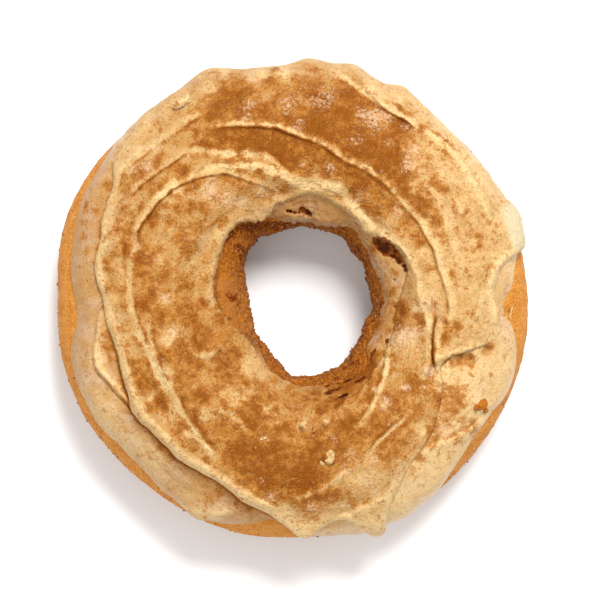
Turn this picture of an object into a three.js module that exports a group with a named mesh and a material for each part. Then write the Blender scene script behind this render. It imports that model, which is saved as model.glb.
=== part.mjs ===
// Iced cinnamon sugar ring doughnut: a baked ring of dough and the icing spread over its crown with a knife.
//
// Millimetres, +Z up. The origin is on the surface that the doughnut rests on, in the middle of its outline.
// A bearing is in degrees, anticlockwise from +X as seen from above. A turn is in degrees round the ring's
// section: 0 at the widest part of the outer side, 90 on the crown, 180 in the hole and 270 on the base.

import * as THREE from "three";

// Driving dimensions of the dough
const DOUGH_CROWN = 26.4; // height of the dough at its crown
const WAIST = 11.6; // height at which the ring is widest
const BASE_DEPTH = 12.9; // depth of the lower curve below the waist, of which the table takes the last part
const UPPER_POWER = 2.15; // 2 is an ellipse, more is squarer
const LOWER_POWER = 2.5;

// Radius of the dough's outline, each 15 degrees, and of the hole, each 10 degrees
const OUTLINE = [
  47.1, 46.5, 45.9, 45.4, 45.2, 45.1, 45.0, 45.2, 46.0, 46.5, 47.3, 47.7, 47.0,
  47.7, 48.0, 47.6, 47.8, 48.4, 48.2, 48.2, 48.6, 48.1, 47.8, 47.7,
];
const HOLE = [
  16.2, 16.0, 15.6, 15.4, 15.4, 15.5, 15.0, 14.5, 14.6, 13.8, 13.4, 13.4, 13.9,
  13.1, 12.5, 11.3, 10.4, 9.5, 8.9, 9.0, 9.2, 9.4, 10.2, 10.8, 11.2, 12.3,
  14.1, 16.1, 16.4, 16.8, 16.7, 16.6, 15.9, 15.8, 15.7, 16.2,
];

// Radius that the icing reaches outwards, each 10 degrees. Past the outline it hangs over the widest part.
const REACH = [
  42.9, 45.2, 47.7, 46.7, 46.4, 46.5, 46.9, 46.9, 47.0, 46.8, 46.6, 47.6, 47.5,
  47.0, 47.2, 47.3, 46.5, 44.8, 43.5, 44.3, 46.1, 46.1, 45.0, 45.5, 46.4, 47.7,
  46.0, 47.0, 48.0, 49.6, 48.9, 47.3, 45.0, 45.0, 46.4, 45.0,
];
const HANG_PER_MM = 10; // degrees of turn below the waist for each millimetre past the outline
// Turn at which the icing ends in the hole, each 20 degrees
const HOLE_EDGE = [
  150, 148, 151, 162, 160, 151, 141, 135, 143, 144, 149, 159, 161, 161, 158,
  155, 150, 148,
];

// The icing: a thin first coat, and the swirl, a thicker layer with a lip round its outside and its inside
const COAT = 0.9;
const BEDDING = 0.3; // clearance between the icing and the dough
const SWIRL_LIP = [
  41.0, 43.4, 47.2, 43.6, 44.2, 44.5, 46.5, 46.0, 47.0, 46.5, 46.5, 47.5, 46.8,
  46.3, 45.2, 42.2, 40.4, 39.9, 37.8, 37.1, 36.7, 38.0, 38.9, 39.1, 39.3, 40.2,
  42.3, 46.8, 46.6, 49.8, 43.0, 40.4, 38.0, 34.2, 34.3, 41.8,
];
const SWIRL_STEP = [
  1.2, 1.2, 0.6, 0.7, 0.9, 0.7, 0.6, 0.6, 1.3, 1.6, 1.7, 2.0, 2.0, 1.9, 1.3,
  0.9, 0.9, 1.5,
];
const SWIRL_HOLE = [
  22.5, 23.6, 19.5, 20.5, 20.8, 18.3, 17.6, 17.5, 16.0, 15.6, 14.5, 13.0, 13.5,
  17.0, 20.5, 22.0, 21.7, 20.3,
];
const LIP_WIDTH = 1.2; // over which the step at the outer lip rises
const HOLE_LIP_WIDTH = 1.5;
const THINNEST = 0.6;
const EDGE_SHARE = 0.6; // thickness left at the very edge
const EDGE_ROUNDING = 5; // degrees of turn over which the edge thins

// Ridges that the spreading knife left. Each runs between two bearings through radii at even steps, stands
// `rise` above the icing beside it, and falls steeply on one side: inwards to the hole, or outwards.
const RIDGES = [
  {
    about: "great arc round the top and right",
    from: -10, to: 118, rise: 1.3, steep: 1.0, gentle: 4.5, falls: "in",
    radii: [31.4, 30.1, 29.5, 28.7, 28.5, 29.4, 31.3, 34.6, 38.2],
  },
  {
    about: "inner arc at the upper left",
    from: 97, to: 160, rise: 1.1, steep: 1.0, gentle: 3.2, falls: "in",
    radii: [20.3, 23.2, 26.3, 28.8, 30.5, 32.0, 33.3, 34.2],
  },
  {
    about: "crest beside the inner arc",
    from: 86, to: 124, rise: 0.5, steep: 1.1, gentle: 1.3, falls: "in",
    radii: [22.8, 24.3, 26.6, 28.8, 31.0],
  },
  {
    about: "far wall of the trough under the great arc",
    from: 88, to: 142, rise: 0.8, steep: 1.0, gentle: 2.6, falls: "out",
    radii: [25.6, 29.2, 32.1, 34.8, 36.3, 36.6],
  },
  {
    about: "long ridge at the left",
    from: 186, to: 248, rise: 1.0, steep: 1.0, gentle: 2.0, falls: "in",
    radii: [28.5, 29.1, 30.0, 31.0, 32.3, 34.0, 35.9],
  },
  {
    about: "short ridge at the left",
    from: 162, to: 203, rise: 0.7, steep: 1.0, gentle: 2.0, falls: "in",
    radii: [33.6, 32.5, 32.0, 31.4, 30.5],
  },
  {
    about: "lip over the right of the hole",
    from: -14, to: 60, rise: 0.9, steep: 1.0, gentle: 2.4, falls: "in",
    radii: [28.3, 25.1, 24.4, 22.9, 21.3, 22.5],
  },
  {
    about: "wall below that lip",
    from: -36, to: -2, rise: 1.0, steep: 1.0, gentle: 2.2, falls: "out",
    radii: [36.6, 32.6, 29.9, 27.4, 25.6],
  },
  {
    about: "fold at the right",
    from: -13, to: 12, rise: 0.9, steep: 1.0, gentle: 1.8, falls: "in",
    radii: [41.6, 39.8, 38.9, 39.9, 43.0],
  },
  {
    about: "rim at the upper right",
    from: 26, to: 84, rise: 0.8, steep: 1.0, gentle: 2.2, falls: "out",
    radii: [42.3, 43.1, 43.6, 42.8, 42.0, 42.2, 43.7, 45.8],
  },
  {
    about: "crease at the upper left",
    from: 108, to: 146, rise: 0.5, steep: 1.0, gentle: 2.6, falls: "in",
    radii: [42.5, 41.0, 41.7, 42.1, 41.6],
  },
  {
    about: "tongue of the first coat, lower left",
    from: 190, to: 215, rise: 0.9, steep: 1.0, gentle: 2.4, falls: "out",
    radii: [40.2, 42.0, 42.2, 40.6, 39.0],
  },
  {
    about: "roll behind the lower lip",
    from: 205, to: 275, rise: 0.6, steep: 1.0, gentle: 2.0, falls: "in",
    radii: [34.8, 36.2, 36.6, 37.0, 39.7, 44.2],
  },
  {
    about: "short ridge at the lower right",
    from: 290, to: 314, rise: 0.6, steep: 1.0, gentle: 1.8, falls: "out",
    radii: [34.6, 33.1, 32.5, 32.4],
  },
  {
    about: "ridge beside the hole, lower right",
    from: 298, to: 330, rise: 0.5, steep: 1.0, gentle: 1.5, falls: "in",
    radii: [28.8, 26.6, 24.2, 22.9, 22.2],
  },
  {
    about: "last stroke at the bottom",
    from: 276, to: 298, rise: 0.6, steep: 1.0, gentle: 1.8, falls: "out",
    radii: [47.0, 45.6, 43.2, 41.0],
  },
];
const RIDGE_END = 7; // degrees over which a ridge fades out at each end

// Knobs and hollows of the icing: where they are, their size along and across the ring, and their height
const KNOBS = [
  { about: "peak at the top", bearing: 87, radius: 46.3, along: 1.8, across: 1.8, height: 1.9 },
  { about: "bulge right of the peak", bearing: 76, radius: 46.2, along: 3.0, across: 2.0, height: 1.5 },
  { about: "bulge at the upper right", bearing: 61, radius: 45.6, along: 3.0, across: 2.0, height: 1.2 },
  { about: "corner at the upper left", bearing: 111, radius: 46.4, along: 2.8, across: 2.2, height: 1.5 },
  { about: "lobe hanging over the right", bearing: 17, radius: 46.3, along: 4.0, across: 2.0, height: 1.7 },
  { about: "tip at the bottom right", bearing: 289.5, radius: 48.0, along: 2.4, across: 2.2, height: 2.3 },
  { about: "tip at the bottom", bearing: 273, radius: 47.2, along: 2.2, across: 2.0, height: 1.0 },
  { about: "flap at the upper left", bearing: 118.5, radius: 44.0, along: 1.8, across: 1.0, height: 0.9 },
  { about: "chunk at the bottom", bearing: 282.5, radius: 32.3, along: 1.2, across: 1.2, height: 0.8 },
  { about: "glob beside the hole", bearing: 241, radius: 16.8, along: 2.6, across: 2.0, height: 0.7 },
  { about: "dimple", bearing: 208, radius: 19.8, along: 1.8, across: 1.8, height: -0.7 },
  { about: "pit under the hole's lip", bearing: 26, radius: 21.6, along: 3.4, across: 1.1, height: -0.5 },
];

// Fineness of the meshes
const ICING_BEARINGS = 120;
const DOUGH_BEARINGS = 60;
const DOUGH_TURNS = 20;
const RIM_ROWS = 6; // across the first coat, outside the swirl's lip
const CROWN_ROWS = 27; // across the swirl
const UNDER_ROWS = 12;

const radians = THREE.MathUtils.degToRad;
const degrees = THREE.MathUtils.radToDeg;
const smoothstep = (x, low, high) => THREE.MathUtils.smoothstep(x, low, high);

/** A smooth curve through values at even steps: closed over the full circle of bearings, or open. */
function curveThrough(values, { from = 0, to = 360, closed = true } = {}) {
  const spans = closed ? values.length : values.length - 1;
  const pick = (i) =>
    closed
      ? values[THREE.MathUtils.euclideanModulo(i, values.length)]
      : values[THREE.MathUtils.clamp(i, 0, values.length - 1)];
  return (bearing) => {
    const place = ((bearing - from) / (to - from)) * spans;
    const i = Math.floor(place);
    const t = place - i;
    const [a, b, c, d] = [pick(i - 1), pick(i), pick(i + 1), pick(i + 2)];
    return (
      b +
      0.5 * t * (c - a + t * (2 * a - 5 * b + 4 * c - d + t * (3 * (b - c) + d - a)))
    );
  };
}

const outline = curveThrough(OUTLINE);
const hole = curveThrough(HOLE);
const reach = curveThrough(REACH);
const holeEdge = curveThrough(HOLE_EDGE);
const swirlLip = curveThrough(SWIRL_LIP);
const swirlStep = curveThrough(SWIRL_STEP);
const swirlHole = curveThrough(SWIRL_HOLE);

/** The crown's height, which wanders a little round the ring. */
function crownHeight(bearing) {
  const b = radians(bearing);
  return DOUGH_CROWN + 0.6 * Math.cos(b - 3.5) + 0.35 * Math.sin(3 * b + 0.7);
}

/** The middle radius and half the width of the ring's section at a bearing. */
function section(bearing) {
  const [inner, outer] = [hole(bearing), outline(bearing)];
  return { middle: (inner + outer) / 2, half: (outer - inner) / 2 };
}

const rounded = (x, power) => Math.sign(x) * Math.abs(x) ** (2 / power);

/** Radius and height of the dough's surface at a bearing and a turn. */
function doughAt(bearing, turn) {
  const { middle, half } = section(bearing);
  const [c, s] = [Math.cos(radians(turn)), Math.sin(radians(turn))];
  if (s >= 0) {
    return {
      r: middle + half * rounded(c, UPPER_POWER),
      z: WAIST + (crownHeight(bearing) - WAIST) * rounded(s, UPPER_POWER),
    };
  }
  return {
    r: middle + half * rounded(c, LOWER_POWER),
    z: Math.max(0, WAIST + BASE_DEPTH * rounded(s, LOWER_POWER)),
  };
}

/** The turn at which the upper surface, seen from above, has a radius. */
function turnAtRadius(bearing, radius) {
  const { middle, half } = section(bearing);
  const share = THREE.MathUtils.clamp((radius - middle) / half, -1, 1);
  return degrees(Math.acos(Math.sign(share) * Math.abs(share) ** (UPPER_POWER / 2)));
}

/** How far the bare crust in the hole stands out in crags. */
function cragsAt(bearing, turn) {
  const end = holeEdge(bearing);
  const shown = smoothstep(turn, end + 9, end + 26) * smoothstep(262 - turn, 0, 35);
  const b = radians(bearing);
  return (
    shown *
    (0.35 * Math.sin(11 * b + turn / 13) + 0.25 * Math.sin(23 * b - turn / 7 + 1.4))
  );
}

/** Height of one ridge at a bearing and radius, as a share of its rise. */
function ridgeShape(ridge, bearing, radius) {
  const turnsAway = Math.round((bearing - (ridge.from + ridge.to) / 2) / 360);
  const b = bearing - 360 * turnsAway;
  const end = Math.min(b - ridge.from, ridge.to - b);
  if (end <= 0) return 0;
  const step = 0.5;
  const slope =
    (ridge.path(b + step) - ridge.path(b - step)) / (2 * radians(step)) / radius;
  const off = (radius - ridge.path(b)) / Math.hypot(1, slope);
  const beyond = ridge.falls === "out" ? off : -off;
  const width = beyond > 0 ? ridge.steep : ridge.gentle;
  return smoothstep(end, 0, RIDGE_END) * Math.exp(-((beyond / width) ** 2));
}

for (const ridge of RIDGES) {
  ridge.path = curveThrough(ridge.radii, { from: ridge.from, to: ridge.to, closed: false });
}

/** Height of all knobs and hollows at a bearing and radius. */
function knobsAt(bearing, radius) {
  let sum = 0;
  for (const knob of KNOBS) {
    const along = radians(bearing - knob.bearing) * knob.radius;
    const across = radius - knob.radius;
    sum += knob.height * Math.exp(-((along / knob.along) ** 2) - (across / knob.across) ** 2);
  }
  return sum;
}

/** Thickness of the icing on the crown at a bearing and radius. */
function crownThickness(bearing, radius) {
  const fromLip = swirlLip(bearing) - radius;
  const fromHole = radius - swirlHole(bearing);
  const swirl =
    swirlStep(bearing) *
    smoothstep(fromLip, -LIP_WIDTH / 2, LIP_WIDTH / 2) *
    smoothstep(fromHole, -HOLE_LIP_WIDTH / 2, HOLE_LIP_WIDTH);
  const b = radians(bearing);
  const unevenness = 0.12 * Math.sin(5 * b + radius / 3) + 0.1 * Math.sin(9 * b - radius / 2);
  const ridges = RIDGES.reduce(
    (sum, ridge) => sum + ridge.rise * ridgeShape(ridge, bearing, radius),
    0,
  );
  return Math.max(THINNEST, COAT + swirl + unevenness + ridges + knobsAt(bearing, radius));
}

/** A point above the dough: straight up on the crown, and square to the surface on the sides. */
function above(bearing, turn, distance) {
  const here = doughAt(bearing, turn);
  const [before, after] = [doughAt(bearing, turn - 0.5), doughAt(bearing, turn + 0.5)];
  const slope = new THREE.Vector2(after.z - before.z, before.r - after.r).normalize();
  slope.x *= 1 - smoothstep(slope.y, 0.35, 0.8);
  slope.setLength(distance);
  return { r: here.r + slope.x, z: here.z + slope.y };
}

/** Thickness of the icing, which on the side of the ring is what its reach leaves for it. */
function icingThickness(bearing, turn) {
  const side = Math.max(THINNEST, reach(bearing) - outline(bearing) - BEDDING);
  const radius = doughAt(bearing, turn).r;
  const onCrown = smoothstep(turn, 4, 34);
  return THREE.MathUtils.lerp(side + knobsAt(bearing, radius), crownThickness(bearing, radius), onCrown);
}

/** The turn at which the icing must start to reach outwards as far as it does. */
function startTurn(bearing) {
  const past = reach(bearing) - (outline(bearing) + BEDDING + THINNEST);
  if (past > 0) return -HANG_PER_MM * past;
  let [low, high] = [0, 80];
  while (high - low > 0.01) {
    const turn = (low + high) / 2;
    const edge = above(bearing, turn, BEDDING + EDGE_SHARE * icingThickness(bearing, turn));
    if (edge.r > reach(bearing)) low = turn;
    else high = turn;
  }
  return low;
}

/** The turns at which the icing starts, outside, and ends, in the hole. */
function icingSpan(bearing) {
  const near = [-6, -3, 0, 3, 6].map((step) => startTurn(bearing + step));
  return [near.reduce((sum, turn) => sum + turn, 0) / near.length, holeEdge(bearing)];
}

const onBearing = (bearing, { r, z }) =>
  new THREE.Vector3(r * Math.cos(radians(bearing)), r * Math.sin(radians(bearing)), z);

/** A closed mesh made of one loop of points round the section for each bearing, joined to the next. */
function ringGeometry(bearings, loopAt) {
  const loops = Array.from({ length: bearings }, (_, i) => loopAt((360 * i) / bearings));
  const size = loops[0].length;
  const index = [];
  for (let i = 0; i < bearings; i++) {
    const next = (i + 1) % bearings;
    for (let j = 0; j < size; j++) {
      const [a, b] = [i * size + j, i * size + ((j + 1) % size)];
      const [c, d] = [next * size + j, next * size + ((j + 1) % size)];
      index.push(a, c, d, a, d, b);
    }
  }
  const geometry = new THREE.BufferGeometry().setFromPoints(loops.flat());
  geometry.setIndex(index);
  geometry.computeVertexNormals();
  return geometry;
}

/** Points round the dough's section, from the outer side over the crown and back along the base. */
function doughLoop(bearing) {
  return Array.from({ length: DOUGH_TURNS }, (_, j) => {
    const turn = (360 * j) / DOUGH_TURNS;
    const { r, z } = doughAt(bearing, turn);
    return onBearing(bearing, { r: r - cragsAt(bearing, turn), z });
  });
}

/** The turns of the icing's top rows: a few over the first coat, then closer ones from the swirl's lip on. */
function topTurns(bearing) {
  const [start, end] = icingSpan(bearing);
  const room = end - start;
  const lip = THREE.MathUtils.clamp(
    turnAtRadius(bearing, swirlLip(bearing) + LIP_WIDTH / 2),
    start + room * 0.09,
    end - room * 0.5,
  );
  const rim = Array.from({ length: RIM_ROWS }, (_, j) =>
    THREE.MathUtils.lerp(start, lip, j / RIM_ROWS),
  );
  const crown = Array.from({ length: CROWN_ROWS + 1 }, (_, j) =>
    THREE.MathUtils.lerp(lip, end, (j / CROWN_ROWS) ** 1.15),
  );
  return [...rim, ...crown];
}

/** Points round the icing's section: its top from outside to the hole, and back along its underside. */
function icingLoop(bearing) {
  const [start, end] = icingSpan(bearing);
  const top = topTurns(bearing).map((turn) => {
    const edge = smoothstep(Math.min(turn - start, end - turn), 0, EDGE_ROUNDING);
    const thickness = icingThickness(bearing, turn) * THREE.MathUtils.lerp(EDGE_SHARE, 1, edge);
    return onBearing(bearing, above(bearing, turn, BEDDING + thickness));
  });
  const under = Array.from({ length: UNDER_ROWS + 1 }, (_, j) => {
    const turn = THREE.MathUtils.lerp(end, start, j / UNDER_ROWS);
    return onBearing(bearing, above(bearing, turn, BEDDING));
  });
  return [...top, ...under];
}

const crust = new THREE.MeshStandardMaterial({ color: 0xd08a45, roughness: 0.8, metalness: 0 });
const icingFinish = new THREE.MeshStandardMaterial({ color: 0xe0b277, roughness: 0.5, metalness: 0 });

const dough = new THREE.Mesh(ringGeometry(DOUGH_BEARINGS, doughLoop), crust);
dough.name = "dough";

const icing = new THREE.Mesh(ringGeometry(ICING_BEARINGS, icingLoop), icingFinish);
icing.name = "icing";

const doughnut = new THREE.Group();
doughnut.add(dough, icing);

export default doughnut;
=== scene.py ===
"""The iced cinnamon sugar ring doughnut, dressed for its final look.

Shapes are worked out in millimetres and become metres when a mesh is made. A bearing is in degrees,
anticlockwise from +X as seen from above. A turn is in degrees round the ring's section: 0 at the widest
part of the outer side, 90 on the crown, 180 in the hole and 270 on the base.
"""

import logging
import math
from dataclasses import dataclass, field
from enum import Enum

import bpy
import numpy as np
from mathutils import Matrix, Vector


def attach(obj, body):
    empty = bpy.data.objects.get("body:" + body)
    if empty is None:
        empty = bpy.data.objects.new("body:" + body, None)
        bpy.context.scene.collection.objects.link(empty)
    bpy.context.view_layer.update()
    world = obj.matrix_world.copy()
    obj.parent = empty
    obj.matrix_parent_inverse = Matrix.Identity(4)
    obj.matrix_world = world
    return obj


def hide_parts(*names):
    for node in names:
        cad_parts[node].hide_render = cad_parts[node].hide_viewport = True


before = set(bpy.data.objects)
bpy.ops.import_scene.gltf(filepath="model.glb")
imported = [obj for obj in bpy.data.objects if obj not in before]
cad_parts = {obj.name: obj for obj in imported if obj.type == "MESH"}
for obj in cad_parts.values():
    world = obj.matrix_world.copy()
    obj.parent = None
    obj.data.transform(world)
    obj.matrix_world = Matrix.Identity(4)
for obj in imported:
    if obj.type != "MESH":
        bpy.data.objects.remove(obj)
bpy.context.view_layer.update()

LOG = logging.getLogger("doughnut")
METRES = 0.001  # in a millimetre
SECTION_RADIUS = 16.0  # rough radius of the ring's section, for turning lengths into degrees of turn

Array = np.ndarray
Pairs = tuple[tuple[float, float], ...]


# Helpers for shapes


def smoothstep(x: Array, low: float, high: float) -> Array:
    """Rise smoothly from 0 to 1 between two values.

    Args:
        x: Where to read the step.
        low: Value up to which it is 0.
        high: Value from which it is 1.

    Returns:
        The step at each x.
    """
    t = np.clip((x - low) / (high - low), 0.0, 1.0)
    return t * t * (3.0 - 2.0 * t)


def lerp(a: Array, b: Array, t: Array) -> Array:
    """Mix two values: a where t is 0, b where it is 1."""
    return a + (b - a) * t


def bell(x: Array, width: float | Array) -> Array:
    """A bump of height 1 at 0, which has sunk to about a third a width away."""
    return np.exp(-((x / width) ** 2))


def towards(bearing: Array, middle: float, low: float, high: float) -> Array:
    """Rise from 0 to 1 as bearings come near one, between two cosines of the angle to it."""
    return smoothstep(np.cos(np.radians(bearing - middle)), low, high)


def rows_of(values: Array, count: int) -> Array:
    """Repeat the value of each bearing over a number of rows."""
    return np.repeat(values[:, None], count, axis=1)


def arc(length: Array) -> Array:
    """Turn a length along the section, in millimetres, into degrees of turn."""
    return np.degrees(length / SECTION_RADIUS)


def smooth_round(values: Array, spread: float) -> Array:
    """Smooth values at even steps round the whole ring.

    Args:
        values: One value for each bearing, starting at any.
        spread: Spread of the smoothing, in degrees.

    Returns:
        The smoothed values.
    """
    away = np.fft.fftfreq(len(values)) * 360.0
    weights = np.exp(-0.5 * (away / spread) ** 2)
    return np.fft.ifft(np.fft.fft(values) * np.fft.fft(weights / weights.sum())).real


class Steps:
    """A smooth closed curve through values at even steps of bearing."""

    def __init__(self, values: tuple[float, ...]) -> None:
        """Keep the values that the curve passes through."""
        self.values = np.array(values)

    def __call__(self, bearing: Array) -> Array:
        """Read the curve.

        Args:
            bearing: Bearings in degrees.

        Returns:
            The curve's value at each bearing.
        """
        place = np.asarray(bearing) / 360.0 * len(self.values)
        i = np.floor(place).astype(int)
        t = place - i
        a, b, c, d = (self.values[(i + k) % len(self.values)] for k in (-1, 0, 1, 2))
        return b + 0.5 * t * (c - a + t * (2 * a - 5 * b + 4 * c - d + t * (3 * (b - c) + d - a)))


class Track:
    """A radius, or another value, along bearings, through pairs at uneven steps."""

    STEP = 0.25  # degrees

    def __init__(self, pairs: Pairs, closed: bool = True, smoothing: float = 0.9) -> None:
        """Draw the track.

        Args:
            pairs: Bearing and value of each point, in order.
            closed: Whether the track runs all round the ring.
            smoothing: Spread of the smoothing, in degrees.
        """
        at, values = np.array(pairs, float).T
        self.closed = closed
        self.start = at[0]
        self.end = at[0] + 360.0 if closed else at[-1]
        self.bearings = np.arange(self.start, self.end + self.STEP / 2, self.STEP)
        period = 360.0 if closed else None
        table = np.interp(self.bearings, at, values, period=period)
        reach = max(1, int(3 * smoothing / self.STEP))
        weights = np.exp(-0.5 * (np.arange(-reach, reach + 1) * self.STEP / smoothing) ** 2)
        if closed:
            padded = np.pad(table[:-1], reach, mode="wrap")
        else:
            padded = np.pad(table, reach, mode="reflect", reflect_type="odd")
        table = np.convolve(padded, weights / weights.sum(), mode="valid")
        self.table = np.append(table, table[0]) if closed else table

    def unwrap(self, bearing: Array) -> Array:
        """Move bearings by whole circles to where they are nearest the track's middle."""
        middle = (self.start + self.end) / 2
        return bearing - 360.0 * np.round((bearing - middle) / 360.0)

    def __call__(self, bearing: Array) -> Array:
        """Read the track at bearings."""
        return np.interp(self.unwrap(np.asarray(bearing)), self.bearings, self.table)

    def slope(self, bearing: Array) -> Array:
        """Change of the value for each radian of bearing."""
        step = 1.0
        return (self(bearing + step) - self(bearing - step)) / math.radians(2 * step)


class Lattice:
    """Smooth random values in space, from one seed."""

    SIZE = 48

    def __init__(self, seed: int) -> None:
        """Draw the values."""
        self.values = np.random.default_rng(seed).uniform(-1.0, 1.0, (self.SIZE,) * 3)

    def at(self, points: Array, size: float) -> Array:
        """Read the values.

        Args:
            points: Places, with x, y and z on the last axis.
            size: Length over which the values change.

        Returns:
            A value from -1 to 1 for each point.
        """
        place = points / size + 0.37 * self.SIZE
        low = np.floor(place).astype(int)
        t = place - low
        t = t * t * (3.0 - 2.0 * t)
        i, j = low % self.SIZE, (low + 1) % self.SIZE
        total = np.zeros(points.shape[:-1])
        for corner in range(8):
            pick = [(corner >> k) & 1 for k in range(3)]
            x, y, z = (j[..., k] if pick[k] else i[..., k] for k in range(3))
            weight = np.prod([t[..., k] if pick[k] else 1.0 - t[..., k] for k in range(3)], axis=0)
            total += weight * self.values[x, y, z]
        return total

    def cloud(self, points: Array, size: float, octaves: int = 3) -> Array:
        """Add finer and finer values, each layer half as strong as the one before.

        Args:
            points: Places, with x, y and z on the last axis.
            size: Length over which the coarsest layer changes.
            octaves: Number of layers.

        Returns:
            A value of about -1 to 1 for each point.
        """
        return sum(0.5**k * self.at(points + 13.7 * k, size * 0.5**k) for k in range(octaves))


def on_bearing(bearing: Array, radius: Array, height: Array) -> Array:
    """Points at bearings, radii and heights, with x, y and z on the last axis."""
    b = np.radians(bearing)
    return np.stack([radius * np.cos(b), radius * np.sin(b), height * np.ones_like(b)], axis=-1)


def add_object(name: str, data: bpy.types.ID) -> bpy.types.Object:
    """Put a mesh, a light or a camera into the scene as a new object."""
    thing = bpy.data.objects.new(name, data)
    bpy.context.collection.objects.link(thing)
    return thing


def carry(mesh: bpy.types.Mesh, values: dict[str, Array]) -> None:
    """Give every point of a mesh named numbers, which the finishes read."""
    for key, value in values.items():
        attribute = mesh.attributes.new(key, "FLOAT", "POINT")
        attribute.data.foreach_set("value", value.astype(np.float32).ravel())


def ring_object(name: str, points: Array, values: dict[str, Array]) -> bpy.types.Object:
    """Make a closed mesh of one loop of points for each bearing, joined to the next.

    Args:
        name: Name of the piece.
        points: Millimetres, as bearing, place in the loop, and x, y, z.
        values: Named numbers for each point, which the finishes read.

    Returns:
        The new object.
    """
    count, size = points.shape[:2]
    i, j = np.meshgrid(np.arange(count), np.arange(size), indexing="ij")
    after, beside = (i + 1) % count, (j + 1) % size
    quads = np.stack([i * size + j, after * size + j, after * size + beside, i * size + beside], axis=-1)
    mesh = bpy.data.meshes.new(name)
    mesh.vertices.add(count * size)
    mesh.vertices.foreach_set("co", (points * METRES).astype(np.float32).ravel())
    mesh.loops.add(quads.size)
    mesh.loops.foreach_set("vertex_index", quads.astype(np.int32).ravel())
    mesh.polygons.add(count * size)
    mesh.polygons.foreach_set("loop_start", np.arange(0, quads.size, 4, dtype=np.int32))
    mesh.polygons.foreach_set("use_smooth", np.ones(count * size, dtype=bool))
    carry(mesh, values)
    mesh.update(calc_edges=True)
    mesh.validate()
    return add_object(name, mesh)


# The form of the dough and of the icing


UNEVEN = Lattice(61)


@dataclass(frozen=True)
class Ring:
    """The baked ring of dough.

    Attributes:
        crown: Height of the crown.
        waist: Height of the widest part.
        base_depth: Depth of the section below the waist, before the base cuts it flat.
        upper_power: How square the section is above the waist; 2 for an ellipse.
        lower_power: The same below it.
        outline: Outer radius at even steps of bearing.
        hole: Radius of the hole at even steps of bearing.
    """

    crown: float = 26.4
    waist: float = 11.6
    base_depth: float = 12.9
    upper_power: float = 2.15
    lower_power: float = 2.5
    outline: Steps = Steps((
        47.1, 46.7, 46.5, 46.0, 45.6, 45.2, 45.0, 45.2, 46.0, 46.9, 47.8, 47.8, 47.0,
        47.7, 48.0, 47.6, 47.8, 48.4, 48.2, 48.2, 48.6, 48.1, 47.8, 47.7,
    ))
    hole: Steps = Steps((
        16.2, 16.0, 15.6, 15.4, 15.4, 15.5, 15.0, 14.5, 14.6, 13.8, 13.4, 13.4, 13.9,
        13.1, 12.5, 11.3, 10.4, 9.5, 8.9, 9.0, 9.2, 9.4, 10.2, 10.8, 11.2, 12.3,
        14.1, 16.1, 16.4, 16.8, 16.7, 16.6, 15.9, 15.8, 15.7, 16.2,
    ))

    def crown_height(self, bearing: Array) -> Array:
        """Height of the crown, which wanders a little round the ring."""
        b = np.radians(bearing)
        return self.crown + 0.6 * np.cos(b - 3.5) + 0.35 * np.sin(3 * b + 0.7)

    def at(self, bearing: Array, turn: Array) -> tuple[Array, Array]:
        """Find the dough's surface.

        Args:
            bearing: Bearings in degrees.
            turn: Turns in degrees.

        Returns:
            Radius and height of each point.
        """
        inner, outer = self.hole(bearing), self.outline(bearing)
        c, s = np.cos(np.radians(turn)), np.sin(np.radians(turn))
        power = 2.0 / np.where(s >= 0, self.upper_power, self.lower_power)
        rise = np.where(s >= 0, self.crown_height(bearing) - self.waist, self.base_depth)
        radius = (inner + outer) / 2 + (outer - inner) / 2 * np.sign(c) * np.abs(c) ** power
        return radius, np.maximum(0.0, self.waist + rise * np.sign(s) * np.abs(s) ** power)

    def turn_at(self, bearing: Array, radius: Array) -> Array:
        """Turn at which the upper surface, seen from above, has a radius."""
        inner, outer = self.hole(bearing), self.outline(bearing)
        share = np.clip((2 * radius - inner - outer) / (outer - inner), -1.0, 1.0)
        return np.degrees(np.arccos(np.sign(share) * np.abs(share) ** (self.upper_power / 2)))

    def facing(self, bearing: Array, turn: Array) -> tuple[Array, Array, Array]:
        """Find the way that the surface faces.

        Args:
            bearing: Bearings in degrees.
            turn: Turns in degrees.

        Returns:
            The normal's part outwards, its part upwards and its length.
        """
        (r0, z0), (r1, z1) = self.at(bearing, turn - 0.5), self.at(bearing, turn + 0.5)
        out, up = z1 - z0, r0 - r1
        return out, up, np.maximum(np.hypot(out, up), 1e-6)

    def above(self, bearing: Array, turn: Array, distance: Array) -> tuple[Array, Array]:
        """Find points over the dough: straight up on the crown, square to the surface on the sides.

        Args:
            bearing: Bearings in degrees.
            turn: Turns in degrees.
            distance: Distance from the dough.

        Returns:
            Radius and height of each point.
        """
        radius, height = self.at(bearing, turn)
        out, up, size = self.facing(bearing, turn)
        out, up = out / size, up / size
        out = out * (1.0 - smoothstep(up, 0.35, 0.8))
        size = np.hypot(out, up)
        return radius + distance * out / size, height + distance * up / size


class Falls(Enum):
    """The side on which a stroke is steep."""

    IN = -1.0
    OUT = 1.0


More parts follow.
